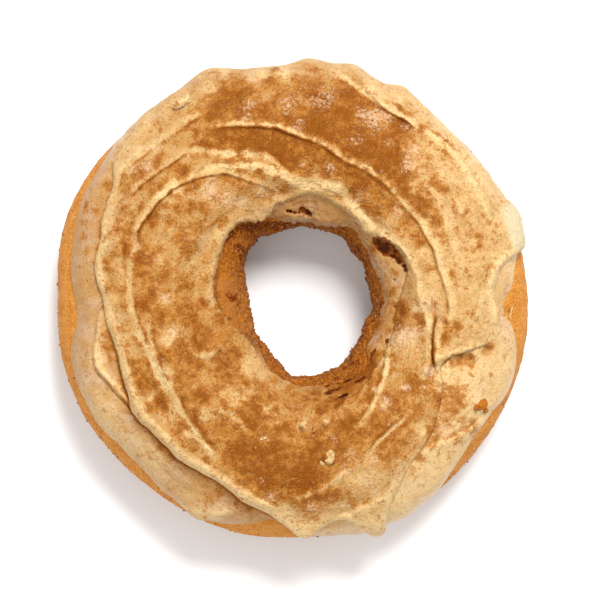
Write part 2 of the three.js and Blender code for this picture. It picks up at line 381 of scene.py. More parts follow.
@dataclass(frozen=True)
class Stroke:
    """A ridge that the spreading knife left.

    Attributes:
        path: Bearing and radius along its crest.
        rise: Height over the icing beside it.
        steep: Width of its steep side.
        gentle: Width of its other side.
        falls: Which side is steep.
        groove: Depth of the dark line at the foot of the steep side.
        push: How far the crest hangs over the steep side.
        fade: Degrees over which it dies out at each end.
        swell: Bearing and share of its height along it.
        shine: How clean and pale its crest is, partly as a painted highlight.
    """

    path: Pairs
    rise: float
    steep: float = 0.5
    gentle: float = 3.0
    falls: Falls = Falls.IN
    groove: float = 0.3
    push: float = 0.45
    fade: float = 6.0
    swell: Pairs = ((0.0, 1.0),)
    shine: float = 0.75
    track: Track = field(init=False)
    strengths: Array = field(init=False)

    def __post_init__(self) -> None:
        """Draw the crest's track, let it wander a little and work out its strength along it."""
        track = Track(self.path, closed=False, smoothing=1.0)
        b = track.bearings
        along = on_bearing(b, 32.0, track.start)
        track.table = track.table + 0.24 * UNEVEN.cloud(along, 3.0, 3)
        strength = smoothstep(np.minimum(b - track.start, track.end - b), 0.0, self.fade)
        strength = strength * np.interp(b, *np.array(self.swell).T)
        object.__setattr__(self, "track", track)
        object.__setattr__(self, "strengths", strength * (1.0 + 0.3 * UNEVEN.cloud(along + 25.0, 4.0, 3)))

    def beside(self, bearing: Array, radius: Array) -> tuple[Array, Array]:
        """Measure from the crest.

        Args:
            bearing: Bearings in degrees.
            radius: Radii.

        Returns:
            The distance beyond the crest, on its steep side, and the stroke's strength there.
        """
        track = self.track
        b = track.unwrap(bearing)
        off = (radius - track(b)) / np.hypot(1.0, track.slope(b) / np.maximum(radius, 1.0))
        strength = np.interp(b, track.bearings, self.strengths, left=0.0, right=0.0)
        return off * self.falls.value, strength

    def height(self, bearing: Array, radius: Array) -> Array:
        """Height that it adds to the icing."""
        beyond, strength = self.beside(bearing, radius)
        steep = bell(np.maximum(beyond, 0.0), self.steep)
        gentle = np.exp(-((np.maximum(-beyond, 0.0) / self.gentle) ** 1.5))
        bead = 0.12 * bell(beyond, 0.45)
        groove = self.groove * bell(beyond - 1.8 * self.steep, 0.32)
        return strength * (self.rise * (steep * gentle + bead) - groove)

    def shift(self, bearing: Array, radius: Array) -> Array:
        """Distance by which points near the crest move outwards."""
        beyond, strength = self.beside(bearing, radius)
        return strength * self.push * self.falls.value * bell(beyond, 0.65)

    def crest(self, bearing: Array, radius: Array) -> Array:
        """How much a point is on the crest, where the icing is clean and pale and a painted highlight is
        put.
        """
        beyond, strength = self.beside(bearing, radius)
        steep_width = 0.3 + 0.35 * min(self.steep, 2.0)
        gentle_width = min(0.45 + 0.13 * self.gentle, 0.8)
        bright = np.minimum(1.0, self.shine * (0.3 + self.rise) * strength)
        return bright * bell(beyond + 0.2, np.where(beyond > -0.2, steep_width, gentle_width))

    def crack(self, bearing: Array, radius: Array) -> Array:
        """How much a point is in the dark line at the foot, where cinnamon gathers and painted shade is put.
        """
        beyond, strength = self.beside(bearing, radius)
        return strength * min(1.0, 2.4 * self.groove) * bell(beyond - 1.7 * self.steep, 0.36)

    def detail(self, bearing: Array, radius: Array) -> Array:
        """How fine the mesh has to be at a point."""
        beyond, strength = self.beside(bearing, radius)
        return strength * bell(beyond, 1.0)


@dataclass(frozen=True)
class Lump:
    """A knob or, with a negative height, a hollow.

    Attributes:
        x: Place, to the right.
        y: Place, to the top.
        along: Size along the ring.
        across: Size across the ring.
        height: Height.
        power: How flat it is on top; 2 for a round knob.
    """

    x: float
    y: float
    along: float
    across: float
    height: float
    power: int = 2

    def shape(self, points: Array) -> Array:
        """How much each point belongs to it, from 0 to 1."""
        away = points[..., :2] - np.array([self.x, self.y])
        out = np.array([self.x, self.y]) / math.hypot(self.x, self.y)
        across = away @ out
        along = away @ np.array([-out[1], out[0]])
        return np.exp(-((along / self.along) ** self.power) - (across / self.across) ** self.power)


# The knife strokes of the swirl
STROKES = (
    Stroke(  # the great stroke, from the right round to the top
        (
            (-11, 30.3), (-9, 31.4), (-5, 31.6), (-1, 31.2), (4, 30.6), (10, 30.0), (17, 29.8), (24, 29.4),
            (31, 29.4), (38, 28.9), (45, 28.7), (51, 29.1), (57, 29.2), (63, 29.1), (70, 29.2), (75, 30.0),
            (80, 30.9), (85, 31.5), (92, 32.8), (95, 33.8), (99, 34.2), (104, 35.2), (112, 36.5),
            (118, 37.8),
        ),
        rise=0.95, steep=0.4, gentle=4.2, groove=0.28, push=0.3, shine=1.2,
        swell=(
            (-11, 0.6), (5, 0.7), (24, 0.6), (38, 0.45), (54, 0.4), (60, 0.6), (68, 0.6), (80, 0.55),
            (95, 0.8), (110, 0.55), (118, 0.4),
        ),
    ),
    Stroke(  # the crest of the band at the upper left
        (
            (64, 23.0), (68, 22.9), (74, 22.4), (80, 22.0), (86, 22.0), (91, 22.9), (94, 23.9), (98, 25.0),
            (101, 25.7), (105, 26.8), (109, 27.5), (115, 28.6), (122, 29.9), (128, 30.8),
        ),
        rise=0.6, steep=1.4, gentle=1.6, push=0.1, groove=0.0, shine=1.1,
    ),
    Stroke(  # the thin dark line under it, which goes on as the band's lower edge
        (
            (95, 20.5), (98, 21.1), (103, 22.5), (109, 24.2), (114.5, 26.2), (119, 28.2), (125, 29.7),
            (131, 30.8), (135, 31.7), (139, 32.4), (145, 33.0), (149, 33.2), (154, 33.4), (161, 33.2),
        ),
        rise=0.75, steep=0.3, gentle=2.4, push=0.3, groove=0.22,
        swell=((95, 0.35), (114, 0.45), (124, 0.8), (134, 1.0), (161, 1.0)),
    ),
    Stroke(  # the band's upper edge
        (
            (88, 23.4), (91, 24.2), (93.5, 25.2), (96.7, 26.9), (98.4, 27.9), (101, 28.7), (105, 29.5),
            (109.5, 30.3), (115, 31.6), (118.5, 33.1), (122, 34.7), (127, 36.3),
        ),
        rise=0.5, gentle=2.4, falls=Falls.OUT, push=0.25, groove=0.12, fade=4.0,
    ),
    Stroke(  # the crease that runs on from it
        ((124, 36.0), (130, 35.8), (134, 36.2), (138, 36.6), (143, 37.4), (150, 38.2)),
        rise=0.4, steep=0.3, gentle=1.2, push=0.2, groove=0.25, fade=5.0, shine=0.5,
    ),
    Stroke(  # creases in the outer part at the upper left
        ((114, 40.5), (120, 40.8), (127, 40.4), (135, 41.2), (143, 42.2), (150, 41.2)),
        rise=0.35, gentle=2.0, push=0.2, groove=0.25,
    ),
    Stroke(  # the crest over the hole, right of the top
        (
            (-17, 28.0), (-10, 27.0), (-4, 26.0), (2, 25.2), (8, 25.2), (14.5, 24.8), (21, 24.0),
            (27, 22.9), (34, 21.9), (40, 21.4), (46, 21.1), (52, 21.1), (58, 21.7), (64, 22.2),
        ),
        rise=0.4, steep=1.2, gentle=2.0, push=0.1, groove=0.0, shine=1.2,
    ),
    Stroke(  # the long ridge at the left
        (
            (158, 33.2), (167, 32.7), (175, 32.3), (180, 31.8), (187, 31.3), (196, 30.6), (200, 30.0),
            (206, 30.2), (212, 30.3), (218, 30.4), (225, 31.1), (232, 32.1), (237.5, 33.2), (242, 34.3),
            (247, 35.7),
        ),
        rise=0.85, steep=0.45, gentle=1.5, push=0.25, groove=0.16,
        swell=((158, 0.15), (170, 0.4), (184, 0.7), (194, 1.0), (247, 1.0)),
    ),
    Stroke(  # a fine ridge beside it
        ((189, 28.6), (193, 29.0), (198, 29.3), (204, 29.4), (210, 30.2), (216, 31.0)),
        rise=0.55, steep=0.35, gentle=0.9, push=0.2, groove=0.15,
    ),
    Stroke(  # the roll along the outer lip at the lower left
        (
            (196, 35.6), (204, 35.8), (212, 36.6), (220, 37.2), (228, 37.0), (236, 37.9), (244, 38.2),
            (252, 39.3), (260, 40.9), (268, 43.6),
        ),
        rise=0.5, steep=0.7, gentle=1.5, push=0.15, groove=0.1,
    ),
    Stroke(  # the crack at the right, with the fold's edge beyond it
        ((-29, 33.4), (-26, 32.3), (-22.5, 31.0), (-18, 30.1), (-13, 29.4), (-9, 29.4), (-6, 31.0)),
        rise=0.9, steep=0.45, gentle=2.0, push=0.4, groove=0.3, fade=4.0, shine=0.45,
    ),
    Stroke(  # the wall left of that crack
        ((-34, 30.5), (-26, 30.2), (-18, 28.6), (-10, 27.7), (-3, 27.2), (4, 26.9)),
        rise=0.6, gentle=1.6, falls=Falls.OUT, push=0.2, groove=0.1, shine=0.45,
    ),
    Stroke(  # the fold at the right, from the blob down
        ((-9, 40.9), (-5.5, 40.6), (-2.4, 40.1), (1, 39.5), (5, 39.8), (8, 40.9), (10.4, 42.9), (13, 45.0)),
        rise=0.7, steep=0.6, gentle=1.0, falls=Falls.OUT, push=0.25, groove=0.1, fade=3.0,
    ),
    Stroke(  # its inner side
        ((-8, 36.6), (-3, 37.2), (0.3, 38.1), (5, 39.4), (9, 40.6), (11.5, 42.4)),
        rise=0.5, steep=0.6, gentle=1.1, push=0.2, groove=0.2, fade=3.0, shine=0.9,
    ),
    Stroke(  # the rim at the right
        (
            (20, 42.4), (26.6, 42.5), (32, 42.6), (37, 43.0), (40.7, 43.2), (45, 43.1), (49, 42.7),
            (55, 42.3),
        ),
        rise=0.75, steep=0.35, gentle=1.0, falls=Falls.OUT, push=0.3, groove=0.2, shine=1.0,
    ),
    Stroke(  # the crest at the upper right
        ((52, 41.4), (57, 41.9), (63.5, 41.9), (68, 42.6), (73, 43.6), (77, 44.8), (82, 45.8)),
        rise=0.9, steep=0.35, gentle=1.2, push=0.35, groove=0.2, fade=4.0, shine=1.0,
    ),
    Stroke(  # small steps on the right-hand flats
        ((8, 34.0), (16, 33.4), (24, 33.6), (32, 34.4), (40, 35.2)),
        rise=0.2, steep=0.8, gentle=2.4, push=0.1, groove=0.0,
    ),
    Stroke(  # the bright thin ridge at the lower right
        ((293, 35.2), (297, 34.2), (300, 33.2), (304, 32.8), (308, 32.5), (312, 32.5), (316, 32.4)),
        rise=0.6, steep=0.2, gentle=0.5, push=0.15, groove=0.15, fade=6.0, shine=1.1,
    ),
    Stroke(  # ridges beside the hole at the lower right
        (
            (292, 28.9), (298, 28.3), (303, 27.3), (308, 26.2), (315, 24.8), (321, 23.7), (326, 22.4),
            (332, 21.9),
        ),
        rise=0.5, steep=0.4, gentle=0.8, push=0.2, groove=0.15, fade=9.0, shine=0.7,
    ),
    Stroke(
        ((288, 24.6), (293, 23.9), (300, 23.1), (308, 22.5), (314, 22.0), (319, 21.6), (324, 21.4)),
        rise=0.5, steep=0.5, gentle=1.5, push=0.35, groove=0.3, shine=0.15,
    ),
    Stroke(  # the crest along the last stroke at the bottom
        ((276, 46.6), (279.4, 45.6), (285.9, 44.6), (290, 44.2), (295, 43.6), (301, 41.4)),
        rise=0.7, steep=0.5, gentle=1.5, push=0.3, groove=0.2, fade=4.0,
    ),
    Stroke(  # faint crests at the bottom
        ((268, 40.2), (274, 39.2), (279, 38.4), (285, 36.6), (290, 35.8)),
        rise=0.4, steep=0.6, gentle=1.4, push=0.1, groove=0.1,
    ),
    Stroke(
        ((232, 26.4), (240, 26.0), (248, 26.8), (255, 28.2), (261, 30.2)),
        rise=0.35, steep=0.6, gentle=1.4, push=0.1, groove=0.1,
    ),
)

# The edges and creases of the first coat
COAT_STROKES = (
    Stroke(  # the second lip at the lower left
        (
            (183, 37.9), (188.8, 39.1), (193.8, 40.2), (197.5, 41.2), (199.6, 41.5), (201.2, 41.1),
            (203.5, 40.2), (207.4, 39.5), (212, 38.8), (216, 38.4),
        ),
        rise=1.1, steep=0.3, gentle=1.6, falls=Falls.OUT, push=0.3, groove=0.35, fade=3.0,
        swell=((183, 0.2), (195, 0.35), (198.5, 0.8), (201, 1.1), (216, 1.0)),
    ),
    Stroke(  # the lobe at the bottom left
        ((236, 47.6), (241, 47.4), (246, 47.1), (250.5, 45.5), (254.5, 44.2), (258, 42.4)),
        rise=0.6, steep=0.6, gentle=2.0, falls=Falls.OUT, push=0.2, groove=0.2, fade=6.0,
    ),
    Stroke(  # the crease at the lower right
        ((308, 40.0), (312, 40.6), (315, 41.6), (320, 43.1), (324, 44.6), (330, 45.6)),
        rise=0.6, steep=0.5, gentle=1.8, push=0.3, groove=0.12, fade=3.0,
    ),
    Stroke(
        ((222, 40.4), (230, 41.4), (238, 42.0), (246, 42.8)),
        rise=0.25, steep=0.7, gentle=1.8, falls=Falls.OUT, push=0.1, groove=0.1,
    ),
)

# Middles of the bumps round the lower side of the dimple
DIMPLE_X, DIMPLE_Y, DIMPLE_RIM = -17.6, -8.8, 3.1
RIM = tuple(
    (DIMPLE_X + DIMPLE_RIM * math.cos(math.radians(a)), DIMPLE_Y + DIMPLE_RIM * math.sin(math.radians(a)))
    for a in range(200, 356, 12)
)
LUMPS = (
    Lump(2.4, 46.6, 1.5, 1.5, 1.3),  # peak at the top
    Lump(11.0, 44.8, 2.6, 1.8, 0.8),
    Lump(21.6, 40.5, 2.6, 1.8, 0.7),
    Lump(-16.6, 43.2, 2.6, 2.0, 0.9),
    Lump(44.0, 14.0, 4.8, 1.9, 0.9, 4),  # blob at the right
    Lump(16.2, -44.6, 2.2, 2.2, 1.2),  # tip at the bottom right
    Lump(2.4, -46.6, 2.0, 2.0, 0.6),  # tip at the bottom
    Lump(-21.8, 38.6, 2.0, 0.8, 1.0),  # flake at the upper left
    Lump(-22.2, 37.2, 1.6, 0.7, -0.7),
    Lump(6.9, -31.8, 1.1, 1.1, 1.0),  # chunk at the bottom
    Lump(-17.5, -8.4, 1.9, 1.9, -1.0),  # dimple
    *(Lump(x, y, 0.7, 0.7, 0.5) for x, y in RIM),
    Lump(29.4, -5.4, 1.2, 1.4, -0.8),  # pocket over the crack at the right
    Lump(-10.6, 38.6, 0.5, 1.6, -0.9),  # gouge at the top
    Lump(-8.0, -15.0, 2.6, 2.0, 0.5),  # glob beside the hole
    Lump(2.1, -25.0, 0.9, 0.7, 0.5),  # slivers at the bottom
    Lump(6.6, -24.6, 0.8, 0.6, 0.5),
)

BLOB = Lump(44.6, 14.1, 4.9, 2.2, 1.0, 4)  # where the blob at the right is pale
COAT_LUMPS = (
    Lump(34.4, -12.3, 1.1, 2.1, -1.0, 4),  # pits under the fold at the right
    Lump(38.7, -10.7, 1.0, 1.0, -1.0, 4),
    Lump(37.8, -21.6, 1.0, 1.2, 0.9),  # knob at the edge
    Lump(37.0, -15.0, 2.2, 1.6, 0.5),
    Lump(34.0, -21.0, 2.4, 1.8, 0.4),
    Lump(-34.6, -12.0, 2.6, 2.0, 0.3),
    Lump(-19.0, -42.5, 3.0, 1.4, 0.4),
    Lump(41.0, 4.0, 1.2, 0.5, 0.5),  # tooth beside the fold
)

# Read round the ring: bearing, and a radius, a height or a share
REACH = Track((  # outer edge of the first coat
    (0, 42.5), (1.5, 43.6), (5, 44.4), (10, 45.3), (12, 46.4), (17, 47.4), (20, 47.8), (25, 47.1),
    (31, 46.6), (38, 46.0), (48, 46.0), (57, 46.8), (63, 47.4), (66, 46.5), (70, 46.9), (74, 48.1),
    (80, 47.5), (86, 48.0), (89, 47.2), (93, 46.4), (102, 46.6), (109, 48.6), (114, 48.3), (120, 47.2),
    (124, 47.2), (135, 47.1), (140, 46.9), (145, 46.6), (150, 46.4), (155, 46.3), (160, 46.0), (165, 45.4),
    (170, 44.8), (175, 44.2), (180, 43.5), (183, 43.0), (187, 42.8), (190, 44.6), (195, 45.8), (200, 46.5),
    (205, 46.4), (210, 46.5), (215, 46.3), (220, 45.6), (225, 45.2), (230, 45.9), (235, 46.5), (240, 46.8),
    (245, 48.0), (250, 47.7), (255, 47.0), (260, 46.0), (265, 43.8), (268, 46.0), (272, 47.6), (280, 48.6),
    (286, 49.3), (290, 50.3), (294, 50.1), (300, 49.5), (306, 48.7), (310, 47.7), (315, 46.7), (320, 45.9),
    (325, 45.9), (328, 45.9), (330.4, 45.8), (333, 46.8), (337, 47.3), (341, 47.0), (345, 46.5),
    (350, 45.1), (353.5, 43.8), (355, 42.3), (356.5, 41.7), (358.5, 41.7),
))
SWIRL_LIP = Track((  # outer edge of the swirl
    (0, 40.5), (2, 40.2), (5, 40.6), (8.4, 42.0), (10.4, 44.0), (11.6, 45.6), (12.4, 47.0), (14, 47.5),
    (17, 47.7), (20, 48.0), (22.2, 48.2), (23.6, 46.7), (25, 44.9), (29, 43.2), (34, 43.0), (40, 43.6),
    (45, 43.8), (50, 44.3), (55, 45.4), (60, 47.2), (66, 46.6), (70, 47.0), (74, 48.2), (80, 47.6),
    (86, 48.3), (92, 46.9), (97, 46.8), (102, 46.9), (109, 48.8), (118, 48.0), (125, 47.0), (131, 45.8),
    (137, 45.0), (141, 44.7), (144, 44.2), (147, 42.4), (150, 41.7), (155, 41.2), (159, 40.6), (165, 39.6),
    (168, 39.8), (172, 39.7), (176, 38.9), (180, 37.8), (184, 37.6), (190, 37.0), (194, 36.8), (199, 36.7),
    (204, 37.1), (210, 37.7), (214, 39.0), (218, 39.2), (224, 38.7), (230, 38.9), (235, 39.4), (241, 39.3),
    (246, 39.5), (251, 40.4), (255, 41.4), (259, 42.3), (264, 43.4), (268, 45.3), (271, 46.9), (273, 47.5),
    (278, 46.0), (280, 45.4), (284, 45.3), (287, 47.5), (290, 50.2), (292, 48.5), (293.5, 46.5),
    (297, 44.5), (301, 42.3), (306, 40.6), (311.5, 39.5), (317, 38.5), (323, 36.7), (330, 34.5),
    (335, 32.3), (338, 32.8), (340, 33.8), (342, 35.6), (344, 37.6), (346, 39.5), (348, 41.5), (350, 42.2),
    (352, 42.1), (355, 41.5), (358, 40.8),
), smoothing=0.6)
SWIRL_HOLE = Track((  # the swirl's edge at the hole
    (0, 21.3), (7, 22.1), (13, 23.4), (22, 23.7), (28, 22.6), (35, 20.4), (42, 19.2), (50, 19.5),
    (60, 20.0), (70, 20.5), (80, 20.6), (90, 19.5), (100, 18.3), (105, 17.1), (110, 16.7), (115, 17.1),
    (120, 17.6), (127, 18.1), (134, 17.8), (142, 17.3), (150, 16.6), (160, 16.0), (170, 15.9), (180, 15.5),
    (190, 14.6), (200, 13.6), (210, 13.0), (230, 13.2), (240, 14.0), (250, 15.2), (260, 16.8), (270, 18.2),
    (280, 19.4), (290, 20.6), (296, 22.4), (303, 23.0), (313, 22.1), (321, 21.5), (328, 21.3), (338, 21.1),
    (345, 20.9), (352, 20.6),
))
LIP_STEP = Track((  # height of the swirl's outer edge over the coat
    (0, 0.8), (11, 0.8), (14, 1.2), (25, 1.2), (60, 1.3), (90, 1.4), (120, 1.3), (135, 1.3), (150, 1.5),
    (170, 1.6), (185, 1.5), (200, 2.0), (218, 2.7), (250, 2.7), (262, 2.2), (270, 1.6), (280, 1.3),
    (292, 1.4), (305, 1.0), (325, 0.9), (333, 1.3), (338, 1.8), (343, 1.7), (346, 0.8), (349, 0.3),
    (353, 0.35), (357, 0.9),
), smoothing=1.5)
HOLE_STEP = Track((  # height of its edge at the hole
    (0, 0.35), (14, 0.5), (24, 1.0), (34, 1.7), (45, 1.9), (60, 1.8), (75, 1.5), (90, 1.2), (110, 1.3),
    (140, 1.4), (170, 1.2), (190, 0.7), (210, 0.3), (250, 0.25), (290, 0.3), (310, 0.5), (325, 0.4),
    (345, 0.3),
), smoothing=5.0)
COAT_HOLE = Track((  # the first coat's edge at the hole
    (0, 18.2), (15, 17.5), (24, 17.2), (32, 17.6), (45, 18.3), (52, 18.0), (60, 16.3), (68, 15.5),
    (80, 15.2), (90, 15.1), (97, 15.0), (104, 16.2), (112, 17.4), (125, 18.4), (134, 18.0), (142, 17.3),
    (150, 16.3), (160, 15.6), (180, 14.8), (200, 13.6), (215, 12.4), (225, 11.5), (240, 12.5), (250, 14.8),
    (260, 16.8), (270, 17.7), (285, 18.6), (300, 19.0), (308, 19.6), (313, 20.3), (318, 20.1), (322, 18.8),
    (327, 17.6), (335, 17.9), (345, 18.3),
), smoothing=1.5)
# On the lower left the coat's paleness is raised partly as painted light.
COAT_PALE = Track((  # how thick and pale the first coat is, from 0 to 1
    (0, 0.75), (20, 0.75), (28, 0.9), (60, 0.85), (70, 0.6), (100, 0.45), (120, 0.5), (140, 0.4),
    (152, 0.2), (165, 0.15), (185, 0.25), (196, 0.35), (201, 0.8), (230, 0.8), (245, 0.6), (258, 0.5),
    (270, 0.7), (290, 0.9), (310, 1.0), (340, 0.9),
), smoothing=6.0)
LIP_CLEAN = Track((  # how clean of cinnamon the swirl's outer edge is, from 0 to 1
    (0, 0.5), (20, 0.5), (60, 0.35), (95, 0.2), (130, 0.2), (146, 0.4), (156, 0.9), (180, 0.9), (195, 0.55),
    (212, 0.5), (228, 0.6), (245, 0.75), (260, 0.85), (290, 1.0), (308, 0.3), (314, 0.15), (328, 0.25),
    (332, 0.8), (335, 1.0), (345, 0.5), (352, 0.3),
), smoothing=5.0)
FLOW = Track((  # offset of the streaks, which makes them follow the knife and not the ring
    (0, 1.2), (15, -0.2), (30, -0.8), (50, -0.9), (70, -0.5), (90, 2.0), (105, 5.0), (118, 7.0), (126, 4.5),
    (135, 1.5), (150, 2.8), (167, 2.5), (187, 1.2), (206, 0.8), (225, 1.8), (245, 5.5), (260, 8.0),
    (270, 9.5), (280, 8.0), (290, 5.0), (300, 3.0), (320, 1.5), (340, 0.5),
), smoothing=4.0)


@dataclass(frozen=True)
class Icing:
    """The spread icing: its thickness over the dough and its edges.

    Attributes:
        ring: The dough under it.
        coat: Thickness of the first coat.
        coat_edge: Thickness at its feathered edge.
        body: Thickness of the swirl away from its edges.
        hang_per_mm: Degrees of turn by which the icing hangs for each millimetre past the widest part.
        streaks: Noise of the fine relief.
        lumps: Noise of the coarse relief.
    """

    ring: Ring
    coat: float = 1.15
    coat_edge: float = 0.3
    body: float = 1.5
    hang_per_mm: float = 10.0
    streaks: Lattice = Lattice(11)
    lumps: Lattice = Lattice(12)

    def wander(self, bearing: Array, seed: float) -> Array:
        """Small wandering of an edge, from about -1 to 1."""
        ring = on_bearing(bearing, 40.0, seed)
        return 0.6 * self.streaks.cloud(ring, 3.2, 2) + 0.4 * self.streaks.cloud(ring, 1.3, 2)

    def reach(self, bearing: Array) -> Array:
        """Radius of the first coat's outer edge."""
        return REACH(bearing) + 0.35 * self.wander(bearing, 5.0)

    def lip(self, bearing: Array) -> Array:
        """Radius of the swirl's outer edge."""
        return SWIRL_LIP(bearing) + 0.38 * self.wander(bearing, 20.0)

    def hole_lip(self, bearing: Array) -> Array:
        """Radius of the swirl's edge at the hole."""
        return SWIRL_HOLE(bearing) + 0.40 * self.wander(bearing, 35.0)

    def coat_hole(self, bearing: Array) -> Array:
        """Radius of the first coat's edge at the hole."""
        return COAT_HOLE(bearing) + 0.55 * self.wander(bearing, 50.0)

    def from_lip(self, bearing: Array, radius: Array) -> Array:
        """Distance of each point inside the swirl's outer edge."""
        return np.maximum(self.lip(bearing) - radius, 0.0)

    def from_hole(self, bearing: Array, radius: Array) -> Array:
        """Distance of each point outside the swirl's edge at the hole."""
        return np.maximum(radius - self.hole_lip(bearing), 0.0)

    def side(self, bearing: Array) -> Array:
        """Thickness on the side of the ring, which is what the icing's reach leaves for it."""
        return np.maximum(0.5, REACH(bearing) - self.ring.outline(bearing))

    def streak(self, bearing: Array, radius: Array) -> Array:
        """Fine streaks along the way the knife went, from about -1 to 1."""
        b = np.radians(bearing)
        flow = radius - FLOW(bearing)
        coarse = np.stack([2.6 * np.cos(b), 2.6 * np.sin(b), flow / 1.5], axis=-1)
        fine = np.stack([4.0 * np.cos(b), 4.0 * np.sin(b), flow / 0.7], axis=-1)
        return 0.65 * self.streaks.at(coarse, 1.0) + 0.35 * self.streaks.at(fine, 1.0)

    def terraces(self, points: Array, bearing: Array, radius: Array) -> Array:
        """Height of the low steps that the knife left between the strokes.

        Args:
            points: Places, with x, y and z on the last axis.
            bearing: Bearings in degrees.
            radius: Radii.

        Returns:
            The height at each point.
        """
        flow = (FLOW(bearing) - radius) / 3.6 + 0.7 * self.lumps.cloud(points, 12.0, 3)
        share = flow - np.floor(flow)
        strength = smoothstep(self.lumps.cloud(points + 40.0, 9.0, 2), -0.25, 0.45)
        return strength * (share - smoothstep(share, 0.76, 1.0) - 0.38)

    def unevenness(self, points: Array, bearing: Array, radius: Array) -> Array:
        """Height of the small steps, streaks and lumps, from about -0.4 to 0.4."""
        fine = 0.14 * self.streak(bearing, radius) + 0.22 * self.streaks.cloud(points, 1.8, 3)
        coarse = 0.20 * self.lumps.cloud(points + 9.0, 3.4, 2)
        return fine + coarse + 0.5 * self.terraces(points, bearing, radius)

    def ridges(self, bearing: Array, radius: Array) -> Array:
        """Height of all strokes."""
        return sum(stroke.height(bearing, radius) for stroke in STROKES)

    def knobs(self, points: Array) -> Array:
        """Height of all lumps."""
        return sum(lump.height * lump.shape(points) for lump in LUMPS)

    def thickness(self, bearing: Array, turn: Array) -> Array:
        """Thickness of the whole icing over the dough.

        Args:
            bearing: Bearings in degrees.
            turn: Turns in degrees.

        Returns:
            The thickness at each point.
        """
        radius, height = self.ring.at(bearing, turn)
        points = on_bearing(bearing, radius, height)
        unevenness = 0.25 * self.lumps.cloud(points, 8.0, 2) + self.unevenness(points, bearing, radius)
        near_lip = bell(self.from_lip(bearing, radius), 3.0)
        hole = HOLE_STEP(bearing) * bell(self.from_hole(bearing, radius), 3.0)
        body = np.maximum(hole, self.body * smoothstep(radius, 18.0, 24.0))
        body = lerp(body, LIP_STEP(bearing), near_lip)
        crown = self.coat + body + self.ridges(bearing, radius)
        side = self.side(bearing) + 0.12 * self.lumps.cloud(points, 5.0, 2)
        total = lerp(side, crown + unevenness, smoothstep(turn, 4.0, 34.0))
        return np.maximum(0.35, total + self.knobs(points) * smoothstep(turn, -10.0, 20.0))

    def coat_thickness(self, bearing: Array, turn: Array, start: Array, end: Array) -> Array:
        """Thickness of the first coat, which feathers out at its edges.

        Args:
            bearing: Bearings in degrees.
            turn: Turns in degrees.
            start: Turn of the outer edge.
            end: Turn of the edge in the hole.

        Returns:
            The thickness at each point.
        """
        radius, height = self.ring.at(bearing, turn)
        points = on_bearing(bearing, radius, height)
        edge = np.minimum(turn - start, end - turn)
        full = lerp(np.minimum(self.coat, self.side(bearing)), self.coat, smoothstep(turn, 4.0, 34.0))
        full = full + 0.22 * self.lumps.cloud(points, 4.0, 4) + 0.08 * self.streak(bearing, radius)
        full = full + sum(stroke.height(bearing, radius) for stroke in COAT_STROKES)
        full = np.maximum(0.2, full + sum(lump.height * lump.shape(points) for lump in COAT_LUMPS))
        return lerp(self.coat_edge, full, smoothstep(edge, 0.0, 14.0)) * smoothstep(edge, -1.5, 1.2)

    def outer_turn(self, bearing: Array, radius: Array, distance: Array) -> Array:
        """Find where the icing, at a distance over the dough, reaches a radius.

        Args:
            bearing: Bearings in degrees.
            radius: The radius to reach.
            distance: Distance over the dough.

        Returns:
            The turn; below nought where the icing hangs past the widest part.
        """
        low, high = np.zeros_like(bearing), np.full_like(bearing, 88.0)
        for _ in range(24):
            middle = (low + high) / 2
            far = self.ring.above(bearing, middle, distance)[0] > radius
            low, high = np.where(far, middle, low), np.where(far, high, middle)
        past = radius - self.ring.above(bearing, np.zeros_like(bearing), distance)[0]
        return smooth_round(np.where(past > 0, np.maximum(-16.0, -self.hang_per_mm * past), low), 1.0)
